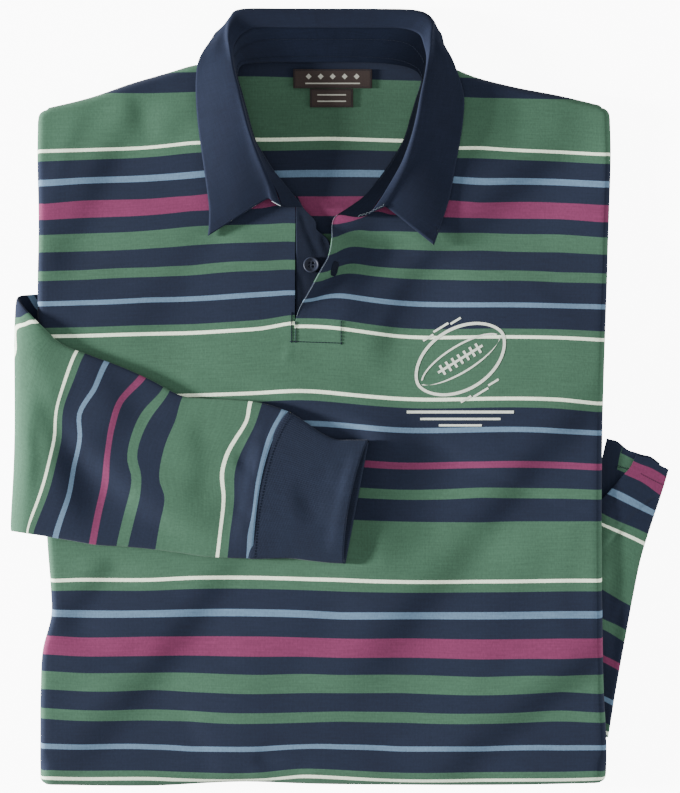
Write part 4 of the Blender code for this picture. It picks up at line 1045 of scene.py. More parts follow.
# %% Sleeve tables
Tube = namedtuple("Tube", "upper_x upper_y lower_x lower_y turn thick bow mouth", defaults=(0.0, 0.0))
SLEEVE = [Tube(*row) for row in (
    (-37.9, -11.3, -65.6, -121, 90, 5.6, 8.4), (-57.8, -4.9, -80.3, -120.8, 90, 5.6, 3),
    (-78, -2.6, -100.5, -119.6, 90, 5.6), (-100.5, -1.5, -120.8, -116.6, 90, 5.6),
    (-119.3, 0.8, -141.8, -114, 90, 5.6), (-141.8, 12.4, -162.8, -112.1, 90, 5.6),
    (-164.3, 22.5, -182.3, -110.9, 90, 5.6), (-186.8, 30.8, -201.8, -107.6, 90, 5.6),
    (-207.8, 39.4, -219.8, -104.6, 90, 5.6), (-221.3, 51.4, -231.8, -102.8, 90, 5.6),
    (-234, 64, -240.2, -101.6, 125, 5.4), (-240, 71, -245, -101, 155, 5.2),
    (-241.6, 74, -245.8, -101, 180, 5.2), (-238.5, 76, -243.2, -101.4, 215, 5.2),
    (-227, 77, -229, -103.4, 270, 5.2), (-206.5, 79, -207.5, -105, 270, 5.2),
)]
CUFF = [Tube(*row) for row in (
    (-39.6, -11, -69.5, -120.8, 90, 5.2, 8.7), (-36.5, -12.2, -66.2, -121.4, 90, 6, 8.7),
    (-25.5, -19.1, -51, -121.2, 90, 6, 3), (-14.3, -27, -36.8, -121, 90, 6.2),
    (-3, -31.9, -23.3, -122.6, 90, 6.4, 0, 0.5), (9, -32.3, -9.8, -124.1, 90, 6.7, 0, 2.6),
    (21.8, -32.3, 4.1, -124.9, 90, 7, 0, 5.6),
)]
SLEEVE_CREASES = [Crease(*row) for row in (
    (-219, 8, -205, -44, -184, -104, 13, 0.3, 1.5), (-230, 27, -176, -58, -82, -116, 9, -0.2, -1.35),
    (-180, 30, -166, 4, -152, -22, 13, 0.1, 1.2), (-160, -4, -138, -2, -118, -6, 4, -0.4, 0),
    (-78, -46, -71, -52, -64, -55, 3, 0.9, 0.35), (-68, -26, -61, -31, -54, -34, 4, 0.6, 0.3),
    (-80, -82, -74, -87, -67, -91, 4.5, 0.6, 0.3), (-62, -22, -71, -70, -80, -118, 7, 0, -0.9),
    (-232, -20, -226, -44, -228, -70, 6, 0.5, 0.3), (-112, -20, -104, -50, -112, -84, 9, 0.2, 0.52),
)]
CUFF_CREASES = [Crease(*row) for row in (
    (-34, -64, -27, -82, -22, -96, 7, 0.3, 0.4), (-6, -50, -10, -72, -16, -96, 8, 0.1, -0.25),
    (12, -40, 2, -80, -7, -118, 5, -0.2, -0.45), (-34, -34.5, -15.8, -35.5, 6, -33.5, 2.6, -0.35, 0),
)]
FOLD_BOW = 2.8            # how far the sleeve's turn at the left edge bows inwards
UNDER_GAP = 0.1           # air between the floor and the sleeve's part under the body
SLEEVE_PINS = (
    (-181.2, ((-226.6, 50.6), (-230.7, 46.5), (-237, 39.2), (-242.9, 32.6))), (-182, ((-243.8, 20.5),)),
    (-187, ((-236.6, 44.4),)), (-191, ((-240, 44.4),)), (-202, ((-252.4, 48.3), (-257.6, 42))),
    (-203, ((-265.6, 36),)), (-173, ((-247.6, -4),)), (-169, ((-250, -60),)), (-166, ((-252, -100),)),
    (-135.3, ((-198, 33.4), (-204.8, 16.1), (-210, -0.4), (-213.8, -28.9), (-220.5, -58.9),
              (-226.5, -77.6), (-234.8, -101.6))),
    (-110.9, ((-174.8, 23.6), (-183, 4.9), (-194.2, -13.9), (-193.5, -28.9), (-198, -51.4),
              (-201.8, -73.9), (-211.5, -103.9))),
    (-84.7, ((-148.5, 13.1), (-164.2, -4.1), (-168.8, -17.6), (-172.5, -36.4), (-174.8, -58.9),
             (-179.2, -81.4), (-184.5, -109.1))),
    (-62.6, ((-130.5, 3.4), (-141.8, -10.1), (-153, -32.6), (-155.2, -47.6), (-151.5, -58.9),
             (-155.2, -81.4), (-162.8, -112.1))),
    (-42, ((-118.5, -1.9), (-123, -17.6), (-132.8, -43.9), (-135, -62.6), (-131.2, -73.9), (-134.2, -92.6),
           (-138, -113.6))),
    (1.6, ((-68.2, -4.9), (-70.5, -17.6), (-84, -40.1), (-89.2, -58.9), (-87.8, -73.9), (-89.2, -92.6),
           (-92.2, -117.4))),
    (26.2, ((-43.7, -13.1), (-48.9, -22), (-53, -31.1), (-56.4, -43.1), (-59.1, -55.1), (-61.5, -67.1),
            (-63, -79.1), (-64.7, -91.1), (-67.3, -103.1), (-68.2, -117.4))),
)
sleeve_down = pinned(by_stripe(SLEEVE_PINS))
print("sleeve", round(math.dist((-221.3, 51.4), (-231.8, -102.8))), "mm wide lying flat")

# %% [markdown]
# ## Shells of the sleeve and the cuff
# A ring of points goes round each section: out along the upper ply and back along the lower one,
# with a rounded edge between. The stripes are read where the ring would lie if the turn at the
# left edge were opened flat. The cuff has an inner wall too, because its mouth is open.

# %% Sleeve and cuff shells
ON_TOP = 91.0             # rows that have turned no further than this lie on the front
INNER_EDGE = 0.022        # the inner wall ends this share of the width inside the outer one


def tube_ring(row, across, creases, inwards=0.0):
    half_high = (row.thick - 2.0 * inwards) / 2.0
    half = half_high * (1.0 - np.abs(2.0 * across - 1.0) ** 3) ** (1.0 / 3.0)
    edge = INNER_EDGE if inwards else 0.0
    share = edge + (1.0 - 2.0 * edge) * across
    x = row.upper_x + (row.lower_x - row.upper_x) * share
    y = row.upper_y + (row.lower_y - row.upper_y) * share
    turn = math.radians(row.turn)
    x = x - FOLD_BOW * math.cos(turn) * np.sin(math.pi * share ** 1.5)
    x = x - row.bow * np.sin(math.pi * share ** 0.7)
    above = stack_top(y) + GAP + row.thick / 2.0
    below = UNDER_GAP + row.thick / 2.0
    z = below + (above - below) * (1.0 + math.sin(turn)) / 2.0
    crease = crease_depth(x, y, creases) * max(math.sin(turn), 0.0) * np.sqrt(np.sin(math.pi * across))
    drawn_back = row.mouth * np.sin(math.pi * share) ** 0.6
    out = np.stack((x + half * math.cos(turn) - drawn_back, y, z + half * math.sin(turn) - crease), axis=1)
    back = np.stack((x - half * math.cos(turn), y, z - half * math.sin(turn)), axis=1)
    return np.concatenate((out, back[::-1][1:])), np.stack((x, y), axis=1)


def tube(name, rows, stations, across_count, creases, material, down_at, leftwards, inside=0.0, wall=None):
    across = (1.0 - np.cos(math.pi * np.linspace(0.0, 1.0, across_count + 1))) / 2.0
    table = [Tube(*row) for row in more_rows(rows, stations)]
    rings, plans = zip(*(tube_ring(row, across, creases) for row in table))
    rings, plans = np.array(rings), np.array(plans)
    reach = length_along(rings.mean(axis=1))
    last = max(k for k, row in enumerate(table) if row.turn <= ON_TOP)
    unrolled = plans.copy()
    for k in range(last + 1, len(table)):
        unrolled[k, :, 0] = plans[last, :, 0] - (reach[k] - reach[last])
        unrolled[k, :, 1] = plans[last, :, 1]
    down = down_at(unrolled[..., 0], unrolled[..., 1])
    down = np.concatenate((down, down[:, ::-1][:, 1:]), axis=1)
    girth = length_along(rings[0])[None, :]
    cloth = Cloth().add(rings, girth, down, flip=leftwards)
    if inside:
        inner = np.array([tube_ring(row, across, creases, inside)[0] for row in table])
        cloth.add(inner, girth, down, flip=not leftwards)
        for end, flip in ((0, not leftwards), (-1, leftwards)):
            cloth.add(np.stack((rings[end], inner[end])), girth, down[end], flip=flip)
    return cloth.make(name, material, wall)


sleeve = tube("sleeve", SLEEVE, 150, 44, SLEEVE_CREASES, JERSEY_CLOTH, sleeve_down, True, wall=1.0)
cuff = tube("cuff", CUFF, 44, 40, CUFF_CREASES, RIB_CLOTH, lambda x, y: x + 0.25 * y, False, inside=1.6)

# %% [markdown]
# ## Tail
# The tail of the shirt is folded up behind and swung out, so its side edge and its hem show to
# the right of the body. The back panel's tail lies uppermost with its right side out. At the side
# vent the front panel's tail shows its inside, with the turned hem.

# %% Tail
TAIL_BACK_ROWS = [Strip(*row) for row in (
    (222.8, -43.8, 247.4, -54.8), (218.3, -52.1, 244, -66.4), (213.5, -58.3, 240.6, -77),
    (201.8, -71.7, 233.6, -98), (189, -86, 226.2, -122.6), (187, -112, 220.4, -150.8),
    (187, -148, 213.8, -186.4), (187, -192, 207.4, -221.6), (187, -226, 204, -243.4),
    (187, -252, 201.8, -256.4),
)]
TAIL_FRONT_ROWS = [Strip(*row) for row in (
    (200.6, -31.4, 240.6, -50.6), (198.4, -40, 239, -64), (196.2, -49, 236, -77), (191, -62, 229, -98),
    (188, -86, 221.6, -122.6), (187, -112, 215.2, -150.8), (187, -148, 208.6, -186.4),
    (187, -192, 202.8, -221.6), (187, -226, 199.4, -243.4),
)]
TAIL_TOP = 5.3            # height of the tail, and how much less it is
TAIL_SLOPE = 1.4          # along its side edge,
TAIL_HEM_DROP = 0.5       # at its hem
TAIL_FOLD_DROP = 0.6      # and at its lower fold
TAIL_CREASES = [Crease(*row) for row in (
    (239, -74.5, 220, -90, 201, -112, 1.8, 1.3, 0.5), (210, -66, 212.5, -74, 211, -84, 2.2, 0.6, 0.4),
    (203, -128, 201, -160, 198, -196, 5, 0.4, 0.7), (214, -150, 206, -176, 204, -205, 4, 0.3, 0.4),
    (240, -60, 233, -65, 225, -66, 2.6, 0.5, 0.3), (206, -80, 204, -110, 201, -140, 5, 0.2, 0.6),
)]
TAIL_ROLL = ((0, 1), (0.25, 1), (0.5, 1), (0.75, 1), (0.88, 1), (0.94, 0.95),
             (0.98, 0.78), (1, 0.42), (0.984, 0.07))
TAIL_PINS = (
    (199.5, ((-89.6, 9.8), (-96.4, 3.4), (-99.4, 0), (-146.6, -42), (-168.4, -59.2), (-175.1, -66),
             (-195.4, -82.5), (-199.9, -87), (-224.6, -108.7), (-229.1, -113.2), (-245.6, -128.2),
             (-255.4, -137.2))),
    (210.8, ((-72.7, 28.9), (-78.2, 24.4), (-94.9, 9.8), (-104.6, 0), (-153.4, -42), (-173.6, -59.2),
             (-181.9, -66))),
    (214, ((-59.4, 43.2),)), (218.3, ((-76.5, 28.9), (-81.9, 24.4))),
    (225.8, ((-51.6, 57.7), (-64.7, 43.2), (-80.6, 28.9), (-85.5, 24.4), (-101.6, 9.3), (-112.1, -0.3))),
    (233.3, ((-54.3, 57.7), (-69.8, 43.2), (-84.7, 28.9), (-89, 24.4))),
    (240.8, ((-58.5, 57.7), (-75.2, 43.2))),
)
tail_down = pinned([(x, y, down) for x, row in TAIL_PINS for y, down in row])


def tail_top(x, y):
    inwards = follow(TAIL_BACK_ROWS, "right_x", y, "right_y") - x
    side = TAIL_SLOPE * (1.0 - ease(3.0, 36.0, inwards))
    hem = TAIL_HEM_DROP * ease(-72.0, -48.0, y)
    fold = TAIL_FOLD_DROP * (1.0 - ease(-254.0, -225.0, y))
    return TAIL_TOP - side - hem - fold


def hem_wave(x, y):
    wave = (1.6 * np.exp(-((x - 208.0) / 4.5) ** 2) - 1.0 * np.exp(-((x - 217.0) / 4.0) ** 2)
            + 2.2 * np.exp(-((x - 234.0) / 6.0) ** 2))
    return wave * ease(-64.0, -46.0, y)


roll_at = np.linspace(0.0, len(TAIL_ROLL) - 1.0, 88)
roll = spline(TAIL_ROLL, roll_at)
plan = strip_plan(more_rows(TAIL_BACK_ROWS, 190), roll[:, 0])
plan[..., 1] += hem_wave(plan[..., 0], plan[..., 1])
x, y = plan[..., 0], plan[..., 1]
folds = crease_depth(x, y, TAIL_CREASES) * (1.0 - ease(5.0, 7.0, roll_at))
tail_back = Cloth().add(raised(plan, tail_top(x, y) * roll[:, 1] - folds), x, tail_down(x, y),
                        flip=True).make("tail_outer", JERSEY_CLOTH, 1.0)

# %% [markdown]
# ## Inner side of the tail
# The front panel's tail shows its wrong side at the vent: a navy facing along the edge, and beyond
# it the stripes of the cloth itself.

# %% Inner side of the tail
FACING_EDGE = ((213.5, -34.0), (210.5, -44.0), (208.5, -52.0), (207.5, -60.0), (207.5, -72.0), (207.0, -90.0))
FACING_PLACE = 65.0       # a place in the repeat where the yarn is navy
INNER_SHIFT = 26.0        # how far the inner cloth's stripes are from the outer's
plan = strip_plan(more_rows(TAIL_FRONT_ROWS, 110), np.linspace(0.0, 1.0, 90))
plan[..., 1] += hem_wave(plan[..., 0], plan[..., 1])
x, y = plan[..., 0], plan[..., 1]
height = tail_top(x, y) - JERSEY - GAP - crease_depth(x, y, TAIL_CREASES) * ease(-62.0, -72.0, y)
edge_x = np.interp(-y, [-at for _, at in FACING_EDGE], [at for at, _ in FACING_EDGE])
down = np.where(x < edge_x, FACING_PLACE + 0.02 * y, tail_down(x, y) + INNER_SHIFT)
tail_front = Cloth().add(raised(plan, height), x, down, flip=True).make("tail_inner", JERSEY_CLOTH, 1.0)

# %% [markdown]
# ## Folded layers
# The two sides, the left sleeve and the long part of the tail are folded behind the front. Their
# edges show as rounded layers under the roll of the front, and their underside rests flat.

# %% Folded layers
RETURN_CLEAR = 3.2        # the layers begin this far inside the front's return
INSIDE_DROP = 4.2         # and this far under its face
LowerInset = namedtuple("LowerInset", "y left right")
LOWER_INSET = [LowerInset(*row) for row in (
    (130, 26, 26), (100, 24, 20), (60, 23, 12), (0, 23, 12), (-25, 23, 17), (-105, 23, 17), (-135, 10, 17),
    (-262, 10, 17), (-300, 12, 17),
)]
TOP_INSET = 14.0
TOP_SHOULDER, TOP_GROOVE, TOP_PINCH = 1.16, 0.67, 0.12    # the upper layer's edge, in roll radii
SURFACE_GAP = 0.45        # height of the lower layers' edge where the front's roll starts at the floor
LOWER_LAYERS = ((0.0, 0.78), (2.4, 0.5), (0.0, 0.24), (1.8, 0.0))


def neck_zone(x, y):
    across = ease(-128.0, -100.0, x) * (1.0 - ease(86.0, 114.0, x))
    return across * ease(58.0, 86.0, y)


def inside_top(x, y):
    deeper = NECK_DROP + JERSEY + GAP - INSIDE_DROP
    return stack_top(y) - INSIDE_DROP - deeper * neck_zone(x, y)


def layered_edge(place):
    x0, y0 = place(0.0)
    base = float(roll_base(y0))
    radius = (float(stack_top(y0)) - base) / 2.0
    inside = base + JERSEY + 2.0 * GAP
    upper = float(inside_top(*place(TOP_SHOULDER * radius)))
    low = max(base - 2.0 * GAP, SURFACE_GAP)
    edge = RETURN + RETURN_CLEAR
    spread = float(ease(1.2, LIFT - 0.2, base))
    near = blend(edge, float(follow(LOWER_INSET, "left" if x0 < 0.0 else "right", y0)), spread)
    section = [(TOP_SHOULDER * radius, upper - TOP_PINCH * radius),
               (TOP_GROOVE * radius, (inside + upper) / 2.0),
               (TOP_SHOULDER * radius, inside + TOP_PINCH * radius),
               (edge, inside), (edge, low)]
    section += [(near + more * spread, low * share) for more, share in LOWER_LAYERS]
    x, y = place(TOP_INSET)
    return [(x, y, float(inside_top(x, y)))] + [(*place(inset), height) for inset, height in section]


def build_layers():
    side_rows, columns = 90, 36
    down, across = np.linspace(0.0, 1.0, side_rows + 1), np.linspace(0.0, 1.0, columns + 1)
    middle = (NECK_LEFT + NECK_RIGHT) / 2.0
    rim = rim_functions(across, down, middle, middle, CENTRE_X)
    loops = [layered_edge(place) for place in rim[:-1]]
    loops = np.array(loops + loops[:1])
    hem_left = columns + side_rows
    hem_right = hem_left + 2 * columns
    shoulder_right = hem_right + side_rows
    cloth = Cloth()
    for level, flip in ((0, True), (-1, False)):
        inner = loops[:, level, :2]
        top = np.concatenate((inner[columns::-1], inner[shoulder_right:-1][::-1]))
        left, bottom = inner[columns:hem_left + 1], inner[hem_left:hem_right + 1]
        right = inner[hem_right:shoulder_right + 1][::-1]
        sides = np.linspace(0.0, 1.0, 2 * columns + 1)
        plan = coons(top, bottom, left, right, sides, down)
        x, y = plan[..., 0], plan[..., 1]
        height = inside_top(x, y) if level == 0 else 0.0 * x
        cloth.add(raised(plan, height), x, shirt_down(x, y), flip=flip)
    edge_down = shirt_down(loops[:, :1, 0], loops[:, :1, 1])
    cloth.add(loops, loops[..., 0], edge_down + np.zeros(loops.shape[:2]))
    return cloth.make("folded_plies", JERSEY_CLOTH)


layers = build_layers()

# %% [markdown]
# ## Button
# A four-hole shirt button turned from cast polyester: a raised rim, a dished middle and a flat
# back. Its profile is spun round, and the four holes are cut through it.

# %% Button
BUTTON_X = -21.4
BUTTON_Y = 98.6
BUTTON_PROFILE = ((0, 0), (4.6, 0), (5.6, 0.35), (6, 0.9), (6, 1.7), (5.8, 2.2), (5.4, 2.45),
                  (4.9, 2.4), (4.5, 2), (4.1, 1.75), (3.2, 1.68), (0, 1.65))
BUTTON_SIDES = 96
seat = float(stack_top(BUTTON_Y)) - PLACKET_DROP + GAP
slope = float(stack_top(BUTTON_Y + 1.0) - stack_top(BUTTON_Y - 1.0)) / 2.0


def on_button(x, y, height):
    return (BUTTON_X + x, BUTTON_Y + y, seat + height + slope * y)


turns = np.linspace(0.0, 2.0 * math.pi, BUTTON_SIDES + 1)
rings = np.array([[on_button(r * math.cos(a), r * math.sin(a), h) for r, h in BUTTON_PROFILE] for a in turns])
button = Cloth().add(rings, 0.0, 0.0).make("button_turned", BUTTON_PLASTIC)
for number in range(4):
    angle = math.pi / 2.0 * (number + 0.5)
    at = on_button(1.9 * math.cos(angle), 1.9 * math.sin(angle), 1.0)
    bpy.ops.mesh.primitive_cylinder_add(vertices=24, radius=0.85 * MM, depth=6.0 * MM,
                                        location=[value * MM for value in at])
    drill = bpy.context.object
    cut = button.modifiers.new("hole", "BOOLEAN")
    cut.object, cut.operation, cut.solver = drill, "DIFFERENCE", "EXACT"
    bake(button)
    bpy.data.objects.remove(drill, do_unlink=True)
print("button with", len(button.data.polygons), "faces")

# %% [markdown]
# ## Labels
# Two woven labels sit in the back of the neck: a wide one and a small one under it. Each is a
# thin folded ribbon that follows the cloth under it. They carry no words, only a row of woven
# lozenges and bars in pale yarn, laid a hair above the ribbon.

# %% Labels
Box = namedtuple("Box", "left bottom right top")
WIDE_LABEL = Box(-35.0, 231.4, 24.0, 245.6)
SMALL_LABEL = Box(-22.5, 217.1, 9.8, 231.0)
RIBBON_EDGE = 0.75        # height of a label's edge over the cloth under it
RIBBON_SWELL = 0.25       # and how much higher its middle is
YARN_UP = 1.06            # the woven motifs lie this high, a hair above the ribbon
SEWING_UP = 1.05          # and so high lies the sewing round the labels
SEWING_INSET = 0.9        # this far inside their edges


def label_bed(x, y):
    return stack_top(y) - NECK_DROP + GAP + 0.1 * np.sin(x / 6.0)


def woven_label(name, box):
    def height(x, y):
        edge = np.minimum(np.minimum(x - box.left, box.right - x), np.minimum(y - box.bottom, box.top - y))
        return label_bed(x, y) + RIBBON_EDGE + RIBBON_SWELL * ease(0.0, 1.6, edge)

    rows = [Strip(box.left, y, box.right, y) for y in np.linspace(box.top, box.bottom, 20)]
    return lay(name, strip_plan(rows, np.linspace(0.0, 1.0, 64)), height, down_the_cloth, LABEL_CLOTH, 0.5)


neck_label = woven_label("label_wide", WIDE_LABEL)
size_label = woven_label("label_small", SMALL_LABEL)


def on_label(x, y):
    x, y = np.asarray(x, float), np.asarray(y, float)
    return np.stack((x, y, label_bed(x, y) + YARN_UP), axis=-1)


motifs = Cloth()
for x in (-23.5, -14.5, -5.5, 3.5, 12.5):
    motifs.add(on_label([[x - 2.2, x], [x, x + 2.2]], [[240.2, 242.4], [238.0, 240.2]]), 0.0, 0.0)
for left, right, y in ((-26.0, 15.0, 235.0), (-17.0, 4.5, 226.4), (-17.0, 4.5, 221.6)):
    xs = np.linspace(left, right, 16)
    motifs.add(on_label([xs, xs], [0.0 * xs + y + 0.5, 0.0 * xs + y - 0.5]), 0.0, 0.0)
label_motifs = motifs.make("label_motifs", LABEL_YARN)

# %% [markdown]
# ## Stitches
# Sewn rows repeat one short stitch along a path, so a geometry node tree makes them: it turns
# the path into a curve, steps along it by the pitch, sets a small thread bead on each step in
# line with the path, realizes the beads and gives them their thread. The beads lie half sunk in
# the cloth, as a pulled stitch does. A zigzag row is the same tree on a zigzag path.

# %% Stitch tree
def stitch_tree(thread):
    tree = bpy.data.node_groups.new("stitch_row", "GeometryNodeTree")
    sockets = tree.interface
    sockets.new_socket("Path", in_out="INPUT", socket_type="NodeSocketGeometry")
    for name, value in (("Pitch", 2.6), ("Stitch length", 2.0), ("Thread", 0.25)):
        socket = sockets.new_socket(name, in_out="INPUT", socket_type="NodeSocketFloat")
        socket.default_value = value * MM
    sockets.new_socket("Stitches", in_out="OUTPUT", socket_type="NodeSocketGeometry")
    ins = tree.nodes.new("NodeGroupInput")
    path = node(tree, "GeometryNodeMeshToCurve", {0: ins.outputs["Path"]})
    steps = node(tree, "GeometryNodeResampleCurve", {0: path.outputs[0], "Length": ins.outputs["Pitch"]},
                 mode="LENGTH")
    tangent = node(tree, "GeometryNodeInputTangent")
    aligned = node(tree, "FunctionNodeAlignRotationToVector", {"Vector": tangent.outputs[0]}, axis="X")
    bead = node(tree, "GeometryNodeMeshUVSphere", {"Segments": 6, "Rings": 5, "Radius": 1.0})
    size = node(tree, "ShaderNodeCombineXYZ", {
        0: calculate(tree, "MULTIPLY", ins.outputs["Stitch length"], 0.5),
        1: ins.outputs["Thread"], 2: ins.outputs["Thread"]})
    along = node(tree, "GeometryNodeTransform", {"Geometry": bead.outputs[0],
                                                 "Rotation": (0.0, math.pi / 2.0, 0.0)})
    sized = node(tree, "GeometryNodeTransform", {"Geometry": along.outputs[0], "Scale": size.outputs[0]})
    placed = node(tree, "GeometryNodeInstanceOnPoints", {
        "Points": steps.outputs[0], "Instance": sized.outputs[0], "Rotation": aligned.outputs[0]})
    real = node(tree, "GeometryNodeRealizeInstances", {0: placed.outputs[0]})
    smooth = node(tree, "GeometryNodeSetShadeSmooth", {0: real.outputs[0]})
    dyed = node(tree, "GeometryNodeSetMaterial", {"Geometry": smooth.outputs[0], "Material": thread})
    outs = tree.nodes.new("NodeGroupOutput")
    tree.links.new(dyed.outputs[0], outs.inputs[0])
    return tree


def sew(name, rows, thread, pitch, length, radius):
    mesh = bpy.data.meshes.new(name)
    points, edges = [], []
    for row in rows:
        first = len(points)
        points.extend((np.asarray(row) * MM).tolist())
        edges.extend((k, k + 1) for k in range(first, len(points) - 1))
    mesh.from_pydata(points, edges, [])
    piece = in_scene(name, mesh)
    tree = stitch_tree(thread)
    rows_modifier = piece.modifiers.new("stitch row", "NODES")
    rows_modifier.node_group = tree
    wanted = {"Pitch": pitch * MM, "Stitch length": length * MM, "Thread": radius * MM}
    for item in tree.interface.items_tree:
        if item.in_out == "INPUT" and item.name in wanted:
            rows_modifier[item.identifier] = wanted[item.name]
    bake(piece)
    print(name, len(piece.data.polygons), "faces in", len(rows), "rows")
    return piece


def on_cloth(points, height, above=0.12, step=1.0):
    line = along_line(points, max(2, int(length_of(points) / step)))
    return np.c_[line, height(line[:, 0], line[:, 1]) + above]


def zigzag(points, width, pitch):
    line = along_line(points, int(2.0 * length_of(points) / pitch))
    swing = np.where(np.arange(len(line)) % 2, 0.5, -0.5)[:, None] * width
    return line + swing * sideways(line)


print("stitch helpers ready")

# %% [markdown]
# ## Sewing on the front
# The placket ends in a stitched box that holds its plies together, a row of topstitching runs
# down beside the slit, and the upper part of the free edge is bound with grey thread.

# %% Placket stitches
def right_front(x, y):
    return front_height(x, y) + placket_lift(x, y)


placket_stitches = sew("placket_stitches", [
    on_cloth([(-33.2, 55.0), (-33.2, 41.2)], right_front),
    on_cloth([(-36.6, 41.2), (0.8, 39.9)], front_height),
    on_cloth([(0.8, 39.9), (0.8, 55.5)], right_front),
    on_cloth([(-36.4, 62.0), (-36.4, 41.2)], front_height)], NAVY_THREAD, pitch=2.3, length=2.5, radius=0.38)
EDGE_POINTS = 160
BOUND_POINTS = 132        # the binding stops this many points down the free edge
edge_line = smooth_line(FREE_EDGE, EDGE_POINTS)
edge_row = (edge_line + 0.3 * sideways(edge_line))[:BOUND_POINTS]
edge_stitches = sew("edge_stitches", [on_cloth(edge_row, right_front, above=0.05)],
                    GREY_THREAD, pitch=0.8, length=1.2, radius=0.17)

# %% [markdown]
# ## Buttonhole and the button's thread
# The buttonhole is four rings of satin stitch, one inside the other, round a long oval that is
# turned a little off the vertical. The button is held by two bridges of thread over its holes.

# %% Buttonhole
HOLE_X, HOLE_Y, HOLE_TURN, HOLE_LONG, HOLE_WIDE = -3.8, 95.6, -0.25, 10.5, 4.0
SATIN_STEPS = 96
SATIN_SWING = 0.3
HOLE_SPREAD = 1.34        # how far the button's holes are from its middle, along x and y


def buttonhole_row(scale_wide, scale_long):
    row = []
    for k in range(SATIN_STEPS + 1):
        angle = 2.0 * math.pi * k / SATIN_STEPS
        swing = SATIN_SWING if k % 2 else -SATIN_SWING
        wide = HOLE_WIDE / 2.0 * scale_wide + swing
        long = HOLE_LONG / 2.0 * scale_long + swing
        cos, sin = math.cos(angle), math.sin(angle)
        across = wide * math.copysign(abs(cos) ** 0.5, cos)
        along = long * math.copysign(abs(sin) ** 0.9, sin)
        row.append((HOLE_X + across * math.cos(HOLE_TURN) - along * math.sin(HOLE_TURN),
                    HOLE_Y + across * math.sin(HOLE_TURN) + along * math.cos(HOLE_TURN)))
    row = np.array(row)
    return np.c_[row, right_front(row[:, 0], row[:, 1]) + 0.1]


bridge = np.linspace(-HOLE_SPREAD, HOLE_SPREAD, 9)
bridges = [np.array([on_button(x, y, 1.75 + 0.35 * math.cos(x)) for x in bridge])
           for y in (-HOLE_SPREAD, HOLE_SPREAD)]
button_stitches = sew("button_stitches", bridges, NAVY_THREAD, pitch=0.45, length=0.8, radius=0.22)
satin = [buttonhole_row(*scales) for scales in ((1.0, 1.0), (0.72, 0.86), (0.45, 0.72), (0.16, 0.6))]
buttonhole = sew("buttonhole_stitches", satin, NAVY_THREAD, pitch=0.5, length=0.9, radius=0.3)

# %% [markdown]
# ## Sewing on the collar
# The neck seam is covered by a tape with a row of stitching along it, and a second row crosses the
# nape. At both ends of the stand the cut edge is closed with pale thread.

# %% Collar rows
FAR = 400.0               # so far from the other end of the collar that its sag is not felt
ROW_UP = 0.75             # the sewing lies this high over the middle of the collar's cloth


def collar_row(at, first, last):
    row = np.array([spline(knots, [at])[0] for knots in COLLAR_KNOTS[first:last + 1]])
    row[:, 2] += ROW_UP
    return row


collar_stitches = sew("collar_stitches", [collar_row(0.22, 14, 186), collar_row(0.95, 62, 138)],
                      NAVY_THREAD, pitch=2.4, length=2.0, radius=0.2)
left_at = np.linspace(1.5, 2.0, 8)
left_end = spline(COLLAR_KNOTS[0], left_at)
left_end[:, 1] -= 0.3 + end_sag(0.0, FAR, left_at)
left_end[:, 2] += 0.6
right_at = np.linspace(1.0, 2.3, 12)
right_line = spline(COLLAR_KNOTS[-1], right_at)
right_line[:, 1] -= end_sag(FAR, 0.0, right_at) - 1.2
right_line = right_line[np.argsort(right_line[:, 0])]


def on_stand(x, y):
    return np.interp(x, right_line[:, 0], right_line[:, 2]) + 0.2


right_end = on_cloth(zigzag(right_line[:, :2], 1.2, 2.6), on_stand, above=0.5)
stand_ends = sew("stand_end_stitches", [left_end], PALE_THREAD, pitch=1.2, length=1.5, radius=0.3)
stand_bars = sew("stand_bar_stitches", [right_end], GREY_THREAD, pitch=1.1, length=1.3, radius=0.22)


# %% [markdown]
# ## Sewing on cuff, tail and labels
# The row at the cuff runs over the upper ply just beyond the seam. The tail has a straight row on
# its hem and a zigzag on the patch of its inner side. Each label is sewn on all round with tiny
# stitches.

# %% Cuff, tail and label rows
CUFF_SEAM = Tube(-35.2, -12.4, -64.2, -121.2, 90.0, 6.1, 8.4)
SEAM_POINTS = 60
seam_row, _ = tube_ring(CUFF_SEAM, (1.0 - np.cos(math.pi * np.linspace(0.0, 1.0, SEAM_POINTS))) / 2.0, ())
cuff_stitches = sew("cuff_stitches", [seam_row[:SEAM_POINTS] + np.array((0.0, 0.0, 0.15))],
                    NAVY_THREAD, pitch=2.2, length=1.8, radius=0.14)


def tail_height(x, y):
    return tail_top(x, y) - crease_depth(x, y, TAIL_CREASES)


def inner_tail_height(x, y):
    return tail_top(x, y) - JERSEY - GAP


hem_row = [(226.5, -58.2), (236.0, -63.2), (243.2, -66.6)]
patch_row = [(208.2, -52.2), (212.6, -53.4), (217.6, -55.0)]
tail_stitches = sew("tail_stitches", [
    on_cloth(hem_row, tail_height, above=0.15),
    on_cloth(zigzag(patch_row, 1.6, 1.5), inner_tail_height, above=0.15, step=0.5)],
    NAVY_THREAD, pitch=1.7, length=1.5, radius=0.22)


def label_rows(box):
    left, bottom = box.left + SEWING_INSET, box.bottom + SEWING_INSET
    right, top = box.right - SEWING_INSET, box.top - SEWING_INSET
    corners = [(left, top), (right, top), (right, bottom), (left, bottom), (left, top)]
    lines = [along_line(corners[k:k + 2], 40) for k in range(4)]
    return [np.c_[line, label_bed(line[:, 0], line[:, 1]) + SEWING_UP] for line in lines]


label_stitches = sew("label_stitches", label_rows(WIDE_LABEL) + label_rows(SMALL_LABEL), NAVY_THREAD,
                     pitch=1.5, length=1.2, radius=0.16)

